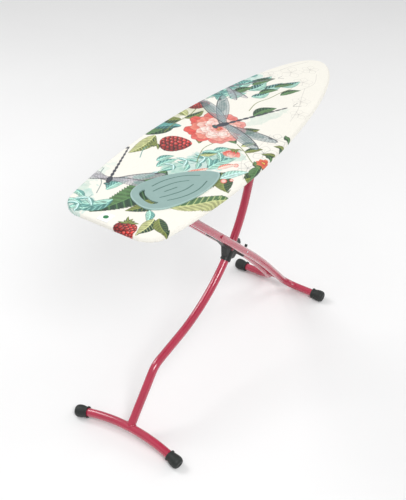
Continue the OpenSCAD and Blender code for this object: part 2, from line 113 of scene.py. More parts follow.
class Shader:
    """A node material with one Principled shader, built a few nodes at a time."""

    def __init__(self, name, **constants):
        self.material = bpy.data.materials.new(name)
        self.material.use_nodes = True
        self.tree = self.material.node_tree
        self.bsdf = self.tree.nodes["Principled BSDF"]
        self.place = self.add("ShaderNodeTexCoord").outputs["Object"]
        for socket, value in constants.items():
            self.bsdf.inputs[socket.replace("_", " ")].default_value = value

    def add(self, kind, inputs=None, **settings):
        node = self.tree.nodes.new(kind)
        for key, value in settings.items():
            setattr(node, key, value)
        for key, value in (inputs or {}).items():
            if isinstance(value, bpy.types.NodeSocket):
                self.tree.links.new(value, node.inputs[key])
            else:
                node.inputs[key].default_value = value
        return node

    def link(self, output, socket):
        self.tree.links.new(output, self.bsdf.inputs[socket])

    def scaled(self, factors):
        node = self.add("ShaderNodeVectorMath", {0: self.place, 1: factors}, operation="MULTIPLY")
        return node.outputs[0]

    def noise(self, scale, detail=3.0, stretch=None, roughness=0.55):
        vector = self.scaled(stretch) if stretch else self.place
        inputs = {"Vector": vector, "Scale": scale, "Detail": detail, "Roughness": roughness}
        return self.add("ShaderNodeTexNoise", inputs).outputs["Fac"]

    def cells(self, scale):
        inputs = {"Vector": self.place, "Scale": scale}
        return self.add("ShaderNodeTexVoronoi", inputs, feature="F1").outputs["Distance"]

    def bands(self, scale, direction, distortion=0.0):
        inputs = {"Vector": self.place, "Scale": scale, "Distortion": distortion}
        node = self.add("ShaderNodeTexWave", inputs, bands_direction=direction)
        return node.outputs["Fac"]

    def ramp(self, value, stops):
        """A value turned into a colour. stops are (place, colour)."""
        node = self.add("ShaderNodeValToRGB", {"Fac": value})
        elements = node.color_ramp.elements
        while len(elements) < len(stops):
            elements.new(0.5)
        for element, (place, colour) in zip(elements, stops):
            element.position = place
            element.color = (*colour, 1)
        return node.outputs["Color"]

    def span(self, value, low, high, start=0.0, end=1.0):
        inputs = {"Value": value, "From Min": start, "From Max": end, "To Min": low, "To Max": high}
        return self.add("ShaderNodeMapRange", inputs).outputs["Result"]

    def math(self, operation, first, second):
        return self.add("ShaderNodeMath", {0: first, 1: second}, operation=operation).outputs[0]

    def mix(self, factor, first, second):
        node = self.add("ShaderNodeMix", data_type="RGBA", blend_type="MIX")
        for index, value in ((0, factor), (6, first), (7, second)):
            if isinstance(value, bpy.types.NodeSocket):
                self.tree.links.new(value, node.inputs[index])
            else:
                node.inputs[index].default_value = value
        return node.outputs[2]

    def bump(self, height, distance, strength=1.0):
        inputs = {"Height": height, "Distance": distance, "Strength": strength}
        self.link(self.add("ShaderNodeBump", inputs).outputs["Normal"], "Normal")


def shades(colour, low=0.85, high=1.12):
    """A ramp's two ends around a colour."""
    return [(0.25, tuple(colour * low)), (0.75, tuple(colour * high))]


def plain(name, colour, tint, rough, bumps, **constants):
    """A finish whose tint, roughness and bumps each follow one noise. tint and rough are
    (scale, detail, low, high) and bumps is (scale, detail, distance, strength)."""
    s = Shader(name, **constants)
    s.link(s.ramp(s.noise(*tint[:2]), shades(colour, *tint[2:])), "Base Color")
    s.link(s.span(s.noise(*rough[:2]), *rough[2:]), "Roughness")
    s.bump(s.noise(*bumps[:2]), *bumps[2:])
    return s.material


def lacquer():
    return plain("raspberry_lacquer", srgb(180, 42, 72), (14, 4, 0.9, 1.08), (60, 3, 0.2, 0.3),
                 (420, 2, 0.00012, 0.5), Coat_Weight=1.0, Coat_Roughness=0.05)


def zinc():
    s = Shader("zinc_plated_steel", Metallic=1.0)
    colour = srgb(196, 198, 202)
    grain = s.mix(s.span(s.cells(130), 0.0, 0.5), s.ramp(s.noise(30), shades(colour)),
                  (*srgb(222, 224, 226), 1))
    s.link(grain, "Base Color")
    s.link(s.span(s.noise(85, 4), 0.26, 0.46), "Roughness")
    s.bump(s.noise(700, 3), 0.00008, 0.5)
    return s.material


def board_steel():
    return plain("coated_steel", srgb(188, 190, 192), (22, 5, 0.88, 1.06), (120, 3, 0.38, 0.55),
                 (900, 2, 0.0001, 0.45), Metallic=0.55)


def spring_steel():
    return plain("spring_steel", srgb(150, 152, 156), (160, 3, 0.85, 1.12), (300, 2, 0.2, 0.34),
                 (1500, 2, 0.00004, 0.4), Metallic=1.0)


def rubber():
    s = Shader("black_rubber")
    dust = s.span(s.noise(45, 5), 0.0, 0.12, 0.45, 0.8)
    base = s.ramp(s.noise(200, 3), shades(srgb(30, 35, 33), 0.8, 1.25))
    s.link(s.mix(dust, base, (*srgb(84, 86, 82), 1)), "Base Color")
    s.link(s.span(s.noise(140, 3), 0.45, 0.68), "Roughness")
    s.bump(s.noise(1100, 3), 0.0001, 0.6)
    return s.material


def black_plastic():
    s = Shader("black_plastic")
    s.link(s.ramp(s.noise(90, 3), shades(srgb(28, 33, 32), 0.8, 1.3)), "Base Color")
    s.link(s.span(s.noise(260, 3), 0.34, 0.5), "Roughness")
    s.bump(s.cells(1400), 0.00008, 0.5)
    return s.material


def cotton():
    s = Shader("printed_cotton", Sheen_Weight=0.25, Sheen_Roughness=0.5)
    printed = s.add("ShaderNodeAttribute", attribute_name="print").outputs["Color"]
    warp = s.bands(480, "X", 0.3)
    weft = s.bands(480, "Y", 0.3)
    weave = s.math("MULTIPLY", warp, weft)
    slub = s.noise(55, 4, stretch=(1, 9, 1))
    shade = s.math("MULTIPLY", s.span(weave, 0.955, 1.015), s.span(slub, 0.965, 1.03, 0.3, 0.7))
    tinted = s.add("ShaderNodeVectorMath", {0: printed, 1: shade}, operation="MULTIPLY")
    s.link(tinted.outputs[0], "Base Color")
    s.link(s.span(slub, 0.78, 0.9, 0.3, 0.7), "Roughness")
    s.bump(s.math("ADD", warp, weft), 0.00007, 0.5)
    return s.material


def hem_cotton():
    s = Shader("stitched_tape", Sheen_Weight=0.2)
    rib = s.bands(260, "DIAGONAL", 0.5)
    s.link(s.ramp(s.noise(70, 4), shades(srgb(236, 233, 224), 0.92, 1.02)), "Base Color")
    s.link(s.span(rib, 0.75, 0.88), "Roughness")
    s.bump(rib, 0.00012, 0.6)
    return s.material


def thread():
    return plain("sewing_thread", srgb(226, 224, 216), (500, 2, 0.85, 1.05),
                 (800, 2, 0.55, 0.75), (2500, 2, 0.00008, 0.6), Sheen_Weight=0.3)


def foam():
    s = Shader("foam_felt")
    pores = s.cells(420)
    colour = s.ramp(s.noise(30, 5), shades(srgb(214, 212, 204), 0.86, 1.06))
    s.link(s.mix(s.span(pores, 0.5, 0.0, 0.0, 0.35), colour, (*srgb(150, 148, 140), 1)), "Base Color")
    s.link(s.span(s.noise(200), 0.85, 0.97), "Roughness")
    s.bump(pores, 0.0006, 0.6)
    return s.material


def silicone():
    s = Shader("sage_silicone", Coat_Weight=0.06, Coat_Roughness=0.35)
    # painted light: the attribute is low in the grooves, which are painted darker as shade, and high on
    # the rim, which is painted lighter as a highlight; low is the painted-shade colour and high the lit
    # colour
    painted_lightness = s.add("ShaderNodeAttribute", attribute_name="painted_lightness").outputs["Fac"]
    low = s.ramp(s.noise(26, 4), shades(srgb(84, 118, 110), 0.93, 1.05))
    high = s.ramp(s.noise(40, 4), shades(srgb(168, 196, 192), 0.96, 1.04))
    s.link(s.mix(painted_lightness, low, high), "Base Color")
    s.link(s.span(s.noise(150, 3), 0.46, 0.6), "Roughness")
    s.bump(s.noise(1300, 3), 0.00007, 0.5)
    return s.material


def woven_label():
    s = Shader("woven_label", Sheen_Weight=0.2)
    mark = s.add("ShaderNodeAttribute", attribute_name="mark").outputs["Color"]
    warp = s.bands(900, "X", 0.2)
    weft = s.bands(450, "Y", 0.2)
    shade = s.span(s.math("MULTIPLY", warp, weft), 0.93, 1.02)
    tinted = s.add("ShaderNodeVectorMath", {0: mark, 1: shade}, operation="MULTIPLY")
    s.link(tinted.outputs[0], "Base Color")
    s.link(s.span(s.noise(300), 0.6, 0.75), "Roughness")
    s.bump(warp, 0.00005, 0.6)
    return s.material


def floor_paint():
    s = Shader("pale_floor", Specular_IOR_Level=0.2)
    s.link(s.ramp(s.noise(1.3, 3), shades(np.array([0.9, 0.9, 0.9]), 0.99, 1.01)), "Base Color")
    s.link(s.span(s.noise(8), 0.8, 0.9), "Roughness")
    return s.material


FINISH = {
    "lacquer": lacquer(), "zinc": zinc(), "board_steel": board_steel(), "rubber": rubber(),
    "spring": spring_steel(), "plastic": black_plastic(), "cotton": cotton(), "tape": hem_cotton(),
    "thread": thread(), "foam": foam(), "silicone": silicone(), "label": woven_label(),
}


# ---------- mesh helpers ----------


def add_piece(name, points, faces, finish, body, smooth=True):
    mesh = bpy.data.meshes.new(name)
    mesh.from_pydata(np.asarray(points, float).tolist(), [], np.asarray(faces).tolist()
                     if isinstance(faces, np.ndarray) else faces)
    mesh.update()
    if smooth:
        mesh.shade_smooth()
    mesh.materials.append(FINISH[finish])
    piece = bpy.data.objects.new(name, mesh)
    scene.collection.objects.link(piece)
    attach(piece, body)
    return piece


def ring_faces(ring_count, per_ring, closed=True):
    """Quads between rings of points, each with per_ring points."""
    ring = np.arange(ring_count - 1)[:, None]
    step = np.arange(per_ring if closed else per_ring - 1)[None, :]
    after = (step + 1) % per_ring
    first = ring * per_ring
    second = first + per_ring
    return np.stack([first + step, first + after, second + after, second + step], -1).reshape(-1, 4)


def set_attribute(piece, name, values):
    values = np.asarray(values, np.float32)
    if values.ndim == 1:
        attribute = piece.data.attributes.new(name, "FLOAT", "POINT")
        attribute.data.foreach_set("value", values)
    else:
        attribute = piece.data.attributes.new(name, "FLOAT_COLOR", "POINT")
        rgba = np.concatenate([values, np.ones((len(values), 1), np.float32)], 1)
        attribute.data.foreach_set("color", rgba.ravel())


def fix_normals(piece):
    work = bmesh.new()
    work.from_mesh(piece.data)
    bmesh.ops.recalc_face_normals(work, faces=work.faces)
    work.to_mesh(piece.data)
    work.free()


def merge_close(piece, *spans):
    """Joins points of the given spans that lie together, so that a mesh closes on itself."""
    work = bmesh.new()
    work.from_mesh(piece.data)
    work.verts.ensure_lookup_table()
    close = [vertex for first, last in spans for vertex in work.verts[first:last]]
    bmesh.ops.remove_doubles(work, verts=close, dist=0.00002)
    work.to_mesh(piece.data)
    work.free()


def apply_modifiers(piece):
    """The piece's mesh as its modifiers make it, in place of the mesh before them."""
    graph = bpy.context.evaluated_depsgraph_get()
    mesh = bpy.data.meshes.new_from_object(piece.evaluated_get(graph))
    piece.modifiers.clear()
    piece.data = mesh


# ---------- the board's outline, as its CAD source gives it, in millimetres ----------

LENGTH, WIDTH = 1350, 452
WIDEST_X, NOSE, HEEL = -189, 864, 486
NOSE_POWER, TAPER, TAPER_POWER, CORNER = 1.7, 50, 2.1, 65
TOP = 980


def side_width(x):
    return WIDTH / 2 - TAPER * ((WIDEST_X - x) / HEEL) ** TAPER_POWER


def half_outline():
    """The far half of the outline, from the nose's tip to the middle of the blunt end."""
    t = np.radians(np.linspace(0, 90, 2000))
    nose = np.stack([WIDEST_X + NOSE * np.cos(t) ** (2 / NOSE_POWER), WIDTH / 2 * np.sin(t)], 1)
    x = np.linspace(WIDEST_X, CORNER - LENGTH / 2, 400)[1:]
    heel = np.stack([x, side_width(x)], 1)
    a = np.radians(np.linspace(0, 90, 120))[1:]
    x = -LENGTH / 2 + CORNER * (1 - np.sin(a))
    corner = np.stack([x, side_width(x) - CORNER * (1 - np.cos(a))], 1)
    end = np.array([[-LENGTH / 2, 0]])
    return np.concatenate([nose, heel, corner, end])


def outline(count):
    """count points evenly spaced round the outline, with the outward normal at each."""
    far = half_outline()
    run = np.concatenate([[0], np.cumsum(np.linalg.norm(np.diff(far, axis=0), axis=1))])
    even = np.linspace(0, run[-1], count // 2 + 1)
    side = np.stack([np.interp(even, run, far[:, k]) for k in (0, 1)], 1)
    points = np.concatenate([side, side[-2:0:-1] * [1, -1]])
    ahead = np.roll(points, -1, axis=0) - np.roll(points, 1, axis=0)
    ahead /= np.linalg.norm(ahead, axis=1)[:, None]
    normals = np.stack([ahead[:, 1], -ahead[:, 0]], 1)
    return points, normals


# ---------- smooth random variation ----------

LATTICE = np.random.RandomState(11).rand(256, 256)


def noise(x, y):
    """Smooth values from 0 to 1, changing over about 1 unit."""
    x, y = np.asarray(x, float), np.asarray(y, float)
    i, j = np.floor(x).astype(int), np.floor(y).astype(int)
    fx, fy = x - i, y - j
    fx, fy = fx * fx * (3 - 2 * fx), fy * fy * (3 - 2 * fy)
    i0, i1, j0, j1 = i & 255, (i + 1) & 255, j & 255, (j + 1) & 255
    low = LATTICE[i0, j0] * (1 - fx) + LATTICE[i1, j0] * fx
    high = LATTICE[i0, j1] * (1 - fx) + LATTICE[i1, j1] * fx
    return low * (1 - fy) + high * fy


def fractal(x, y, octaves=3):
    total = sum(noise(x * 2 ** k + 17 * k, y * 2 ** k + 31 * k) / 2 ** k for k in range(octaves))
    return total / sum(1 / 2 ** k for k in range(octaves))


def fade(low, high, value):
    t = np.clip((value - low) / (high - low), 0, 1)
    return t * t * (3 - 2 * t)


# ---------- the printed design, in millimetres on the flat cloth ----------

CREAM = srgb(243, 240, 230)


class Print:
    """Paints shapes one over another onto points of the flat cloth."""

    def __init__(self, points):
        self.points = points
        paper = fractal(points[:, 0] / 160, points[:, 1] / 160, 4)[:, None]
        self.rgb = CREAM * (0.965 + 0.05 * paper)

    def around(self, at, angle, reach):
        """The points within reach of a place, and where they lie along and across angle."""
        d = self.points - at
        index = np.flatnonzero((np.abs(d) < reach).all(1))
        c, s = math.cos(math.radians(angle)), math.sin(math.radians(angle))
        d = d[index]
        return index, d[:, 0] * c + d[:, 1] * s, d[:, 1] * c - d[:, 0] * s

    def lay(self, index, cover, colour):
        self.rgb[index] += (colour - self.rgb[index]) * np.clip(cover, 0, 1)[:, None]

    def grain(self, index, size, low, high, seed=0):
        x, y = self.points[index].T / size
        return low + (high - low) * fractal(x + 7 * seed, y + 3 * seed)

    def wash(self, at, size, angle, colour, strength=0.8):
        """A soft patch of watercolour with a ragged edge."""
        index, u, v = self.around(at, angle, 1.3 * max(size))
        radius = np.hypot(u / size[0], v / size[1])
        edge = 1 - radius + 0.5 * (self.grain(index, 26, -1, 1) + self.grain(index, 9, -0.4, 0.4))
        cover = fade(0, 0.16, edge) * strength * self.grain(index, 14, 0.45, 1.2, 2)
        rim = fade(0, 0.05, edge) * (1 - fade(0.05, 0.14, edge)) * 0.25
        self.lay(index, cover + rim * strength, colour * self.grain(index, 20, 0.8, 1.15, 4)[:, None])

    def line(self, points, width, colour, strength=1.0):
        """A brushed line through points, as one smooth curve."""
        path = curve_through(np.array(points, float), 24)
        low, high = path.min(0) - width * 2, path.max(0) + width * 2
        index = np.flatnonzero(((self.points > low) & (self.points < high)).all(1))
        if not len(index):
            return
        p = self.points[index]
        best = np.full(len(p), 1e9)
        for a, b in zip(path[:-1], path[1:]):
            d = b - a
            t = np.clip(((p - a) @ d) / max(d @ d, 1e-9), 0, 1)
            gap = np.hypot(*(p - a - t[:, None] * d).T)
            best = np.minimum(best, gap)
        half = width / 2
        tone = self.grain(index, 7, 0.8, 1.15)[:, None]
        self.lay(index, (1 - fade(half - 0.7, half + 0.7, best)) * strength, colour * tone)

    def leaf(self, at, length, width, angle, light, dark, bend=0.0, veins=8, teeth=0.0,
             strength=1.0, fat=0.8):
        """A leaf from its stalk at a place, with two tones, a midrib and side veins."""
        index, u, v = self.around(at, angle, length * 1.2)
        t = u / length
        v = v - 4 * bend * length * t * (1 - t)
        s = np.clip(t, 0, 1)
        saw = 1 - teeth * ((s * veins * 2.2) % 1)
        half = width / 2 * np.sin(np.pi * s ** fat) ** 0.9 * saw
        edge = half - np.abs(v) + self.grain(index, 9, -0.8, 0.8, 3)
        cover = fade(-0.9, 0.9, edge) * ((t > 0) & (t < 1)) * strength
        side = fade(-0.6, 0.6, v)[:, None]
        tone = light * (1 - side) + dark * side
        mottled = self.grain(index, 11, 0.62, 1.35) * self.grain(index, 4, 0.9, 1.1, 5)
        tone = tone * mottled[:, None]
        rise = (s * veins - np.abs(v) / width * 3.0) % 1
        vein = (1 - fade(0.04, 0.14, np.abs(rise - 0.5))) * fade(0, 3, edge) * 0.55
        between = fade(0.2, 0.5, np.abs(rise - 0.5)) * 0.3
        tone = tone * (1 - between[:, None])
        tone = tone + (light * 1.5 - tone) * vein[:, None]
        rib = (1 - fade(0.5, 1.5, np.abs(v) - 0.9 * (1 - s))) * 0.8
        tone = tone + (light * 1.7 - tone) * rib[:, None]
        rim = (1 - fade(0.4, 2.4, edge)) * 0.45
        tone = tone * (1 - rim[:, None])
        self.lay(index, cover, np.clip(tone, 0, 1))

    def petal(self, at, angle, start, length, width, base, tip, seed, ragged=0.1):
        """A rounded petal that begins some way out from a flower's centre."""
        index, u, v = self.around(at, angle, (start + length) * 1.25)
        t = (u - start) / length
        a = np.arctan2(v, u - start - length * 0.45)
        wave = ragged * (np.sin(a * 5 + seed) + 0.6 * np.sin(a * 9 + 2.3 * seed))
        half = width / 2 * (0.3 + 0.7 * fade(-0.1, 0.6, t))
        r = np.hypot(np.where(t > 0.5, (t - 0.5) / 0.5, (t - 0.5) / 0.55), v / half)
        edge = 1 + wave - r
        cover = fade(-0.03, 0.05, edge)
        mixed = fade(0.1, 1.0, t + 0.25 * self.grain(index, 12, -1, 1, seed))[:, None]
        tone = base * (1 - mixed) + tip * mixed
        streak = fractal(a * 7 + seed, t * 1.2 + seed)
        tone = tone * (0.78 + 0.42 * streak)[:, None]
        fold = fade(0.1, 0.5, np.abs(((v / half * 1.3 + 0.3 * np.sin(4 * t + seed)) % 1) - 0.5))
        tone = tone * (0.88 + 0.14 * fold)[:, None]
        outline_dark = (1 - fade(0.02, 0.1, edge))[:, None]
        tone = tone * (1 - 0.42 * outline_dark)
        lit = (fade(0.08, 0.13, edge) * (1 - fade(0.16, 0.3, edge)))[:, None] * 0.35
        tone = tone + (tip * 1.15 - tone) * lit
        self.lay(index, cover, np.clip(tone, 0, 1))

    def berry(self, at, size, angle, colour, dark, seed=1):
        """A raspberry of small round drupelets, tapering from its stalk end along angle."""
        length, width = size
        index, u, v = self.around(at, angle, length * 0.8)
        t = u / length + 0.5
        s = np.clip(t, 0, 1)
        half = width / 2 * np.sin(np.pi * s ** 0.72) ** 0.55
        edge = half - np.abs(v) + self.grain(index, 6, -2.0, 2.0, seed)
        cover = fade(-1, 1, edge) * ((t > 0.01) & (t < 1))
        round_v = np.arcsin(np.clip(v / np.maximum(half, 1), -1, 1)) * np.maximum(half, 4)
        pitch = width / 6.5
        u = u + self.grain(index, 13, -0.34, 0.34, seed + 7) * pitch
        row = np.round(u / (pitch * 0.87))
        x = round_v / (1.4 * pitch) + 0.5 * (row % 2)
        du, dv = u / (pitch * 0.87) - row, x - np.round(x)
        drop = np.hypot(du, dv)
        seedy = noise(row * 3.1 + seed, np.round(x) * 5.3)
        tone = colour * (0.62 + 0.75 * seedy)[:, None]
        tone = tone * (1.15 - 1.1 * fade(0.15, 0.62, drop))[:, None]
        shade = fade(-0.9, 0.7, v / width * 2 + 0.5 * (s - 0.5))[:, None]
        tone = tone * (0.55 + 0.6 * shade)
        glint = (1 - fade(0.1, 0.2, np.hypot(du + 0.18, dv - 0.16)))[:, None] * 0.55 * shade
        tone = tone + (srgb(255, 205, 190) - tone) * glint
        tone = tone + (dark - tone) * ((1 - fade(0, 3.5, edge)) * 0.6)[:, None]
        self.lay(index, cover, np.clip(tone, 0, 1))

    def wing(self, root, length, width, angle, tint, ink, strength):
        """An insect's wing: a faint tint, a dark leading edge, veins and small cells."""
        index, u, v = self.around(root, angle, length * 1.1)
        t = u / length
        s = np.clip(t, 0, 1)
        half = width / 2 * np.sin(np.pi * s ** 1.15) ** 0.5
        v = v + 0.05 * width * np.sin(3 * t)
        edge = half - np.abs(v)
        inside = fade(-0.6, 0.6, edge) * ((t > 0) & (t < 1))
        tone = self.grain(index, 14, 0.75, 1.2)[:, None] * tint
        self.lay(index, inside * strength, np.clip(tone, 0, 1))
        border = (1 - fade(0.5, 1.3, np.abs(edge))) * ((t > 0) & (t < 1))
        lead = (1 - fade(1.0, 2.0, np.abs(v - half + 2.2))) * inside
        fan = np.abs(((v / np.maximum(half, 1) * 2.5) % 1) - 0.5)
        along = (1 - fade(0.05, 0.12, fan)) * inside * 0.75
        slant = np.abs(((s * 18 + 1.3 * np.abs(v) / width + 0.25 * np.floor(
            v / np.maximum(half, 1) * 2.5)) % 1) - 0.5)
        across = (1 - fade(0.07, 0.15, slant)) * inside * 0.5
        spot = inside * fade(0.80, 0.83, s) * (1 - fade(0.88, 0.91, s)) * fade(
            0.2, 0.5, v / np.maximum(half, 1))
        drawn = np.maximum.reduce([border, lead, along, across, spot])
        self.lay(index, drawn * 0.85, ink)

    def dragonfly(self, head, tail, span, tint, ink, patch, sweep=(18, -14), strength=0.6):
        """Seen from above: four wings at the thorax, a round head and a ringed tail."""
        head, tail = np.array(head, float), np.array(tail, float)
        axis = tail - head
        size = np.hypot(*axis)
        angle = math.degrees(math.atan2(axis[1], axis[0]))
        chest = head + axis * 0.075
        for side in (-1, 1):
            for pair, turn in enumerate(sweep):
                root = chest + axis * 0.06 * pair
                heading = angle + side * (90 + turn * -1)
                self.wing(root, span * (1 - 0.08 * pair), span * 0.21, heading, tint, ink, strength)
                out = np.array([math.cos(math.radians(heading)), math.sin(math.radians(heading))])
                self.wash(root + out * span * 0.62, (span * 0.2, span * 0.07), heading, patch, 0.55)
        steps = 9
        for k in range(steps):
            spot = chest + axis * (0.14 + 0.64 * k / (steps - 1))
            self.blob(spot, (size * 0.042, size * (0.021 - 0.0012 * k)), angle, ink,
                      ink * 1.5)
        self.blob(chest + axis * 0.02, (size * 0.08, size * 0.036), angle, ink, ink * 1.6)
        self.blob(head, (size * 0.026, size * 0.04), angle, ink, patch * 0.7)
        for side in (-1, 1):
            aside = np.array([-axis[1], axis[0]]) / size * side
            self.line([tail - axis * 0.03, tail + aside * size * 0.02, tail + axis * 0.05
                       + aside * size * 0.04], 1.6, ink)

    def blob(self, at, size, angle, edge_colour, colour):
        """A small shaded oval."""
        index, u, v = self.around(at, angle, 1.5 * max(size))
        r = np.hypot(u / size[0], v / size[1])
        tone = colour + (edge_colour - colour) * fade(0.45, 0.95, r)[:, None]
        soft = 0.9 / min(size)
        self.lay(index, 1 - fade(1 - soft, 1 + soft, r), np.clip(tone, 0, 1))


def curve_through(points, steps):
    """A Catmull-Rom curve through 2D or 3D points."""
    if len(points) < 3:
        return points
    ends = np.concatenate([[2 * points[0] - points[1]], points, [2 * points[-1] - points[-2]]])
    parts = []
    for a, b, c, d in zip(ends, ends[1:], ends[2:], ends[3:]):
        t = np.linspace(0, 1, steps // 2, endpoint=False)[:, None]
        parts.append(0.5 * (2 * b + (c - a) * t + (2 * a - 5 * b + 4 * c - d) * t ** 2
                            + (3 * b - a - 3 * c + d) * t ** 3))
    return np.concatenate([*parts, points[-1:]])


OLIVE, PALE_OLIVE = srgb(122, 132, 66), srgb(186, 190, 132)
GREEN, DEEP_GREEN = srgb(84, 124, 74), srgb(34, 70, 48)
MINT, TEAL = srgb(160, 206, 190), srgb(92, 156, 150)
PALE_TEAL, DARK_TEAL = srgb(186, 220, 212), srgb(52, 104, 104)
CORAL, ROSE = srgb(222, 84, 72), srgb(240, 150, 134)
BLUSH, WHITE_PINK = srgb(248, 206, 192), srgb(252, 236, 226)
CRIMSON, WINE = srgb(204, 50, 44), srgb(116, 26, 28)
SALMON, ORANGE = srgb(236, 138, 118), srgb(232, 120, 70)
INK, GREY_INK = srgb(44, 48, 58), srgb(104, 106, 112)
MAUVE, SLATE = srgb(196, 192, 200), srgb(150, 172, 176)
PENCIL = srgb(178, 174, 168)


def leaf_between(art, start, tip, width, light, dark, **more):
    d = np.array(tip, float) - start
    angle = math.degrees(math.atan2(d[1], d[0]))
    art.leaf(start, float(np.hypot(*d)), width, angle, light, dark, **more)


def peony(art, at, size):
    """A full flower: ragged outer petals, then paler cupped ones, then a tight heart."""
    draw = np.random.RandomState(5)
    rows = (
        (9, 0.30, 0.72, 0.66, CRIMSON * 1.3, CORAL), (8, 0.22, 0.62, 0.60, CORAL, SALMON),
        (8, 0.16, 0.52, 0.50, CORAL, BLUSH), (7, 0.10, 0.44, 0.42, SALMON, WHITE_PINK),
        (6, 0.06, 0.32, 0.34, CORAL, WHITE_PINK), (5, 0.02, 0.22, 0.24, CRIMSON * 1.2, BLUSH),
    )
    for row, (count, start, length, width, base, tip) in enumerate(rows):
        for k in draw.permutation(count):
            angle = 360 * (k + 0.45 * row + 0.3 * draw.rand()) / count
            lean = 1 + 0.14 * math.cos(math.radians(angle - 100))
            pale = 0.35 * (1 - math.cos(math.radians(angle - 110))) / 2
            tinted = tip + (WHITE_PINK - tip) * pale
            art.petal(at, angle, start * size * lean, length * size * lean, width * size, base,
                      tinted, 3 * row + k, 0.07)
    for k in range(14):
        angle = draw.rand() * 2 * math.pi
        spot = at + size * 0.12 * draw.rand() * np.array([math.cos(angle), math.sin(angle)])
        art.blob(spot, (2.6, 2.0), math.degrees(angle), WINE, srgb(240, 190, 90))


def calyx(art, at, size, heading, light, dark):
    """Pointed sepals fanned around a stalk's end."""
    for turn in (-75, -40, -8, 25, 60, 95):
        art.leaf(at, size * (0.8 + 0.2 * math.cos(turn)), size * 0.28, heading + turn, light, dark,
                 bend=0.06, veins=3)


def spray(art, start, tip, pairs, size, light, dark, bend=0.1, strength=1.0):
    """A stem with paired leaves along it."""
    start, tip = np.array(start, float), np.array(tip, float)
    d = tip - start
    side = np.array([-d[1], d[0]])
    middle = start + d * 0.5 + side * bend
    path = curve_through(np.array([start, middle, tip]), 20)
    art.line([start, middle, tip], 2.2, dark, strength)
    for k in range(pairs):
        place = int((k + 0.6) / (pairs + 0.3) * (len(path) - 2))
        step = path[place + 1] - path[place]
        heading = math.degrees(math.atan2(step[1], step[0]))
        long = size * (1 - 0.35 * k / pairs)
        for way in (-1, 1):
            art.leaf(path[place], long, long * 0.42, heading + way * 48, light, dark,
                     bend=0.07 * way, veins=5, strength=strength)
    step = path[-1] - path[-3]
    art.leaf(path[-1], size * 0.8, size * 0.34, math.degrees(math.atan2(step[1], step[0])), light,
             dark, veins=5, strength=strength)


def line_flower(art, at, size, ink, strength):
    """A five-petalled flower drawn only in line."""
    for k in range(5):
        a = math.radians(72 * k + 20)
        root = np.array(at, float)
        way = np.array([math.cos(a), math.sin(a)])
        side = np.array([-way[1], way[0]])
        loop = [root, root + size * (0.55 * way + 0.38 * side), root + size * way,
                root + size * (0.55 * way - 0.38 * side), root]
        art.line(loop, 1.5, ink, strength)
        art.line([root, root + size * 0.6 * way], 1.2, ink, strength * 0.8)


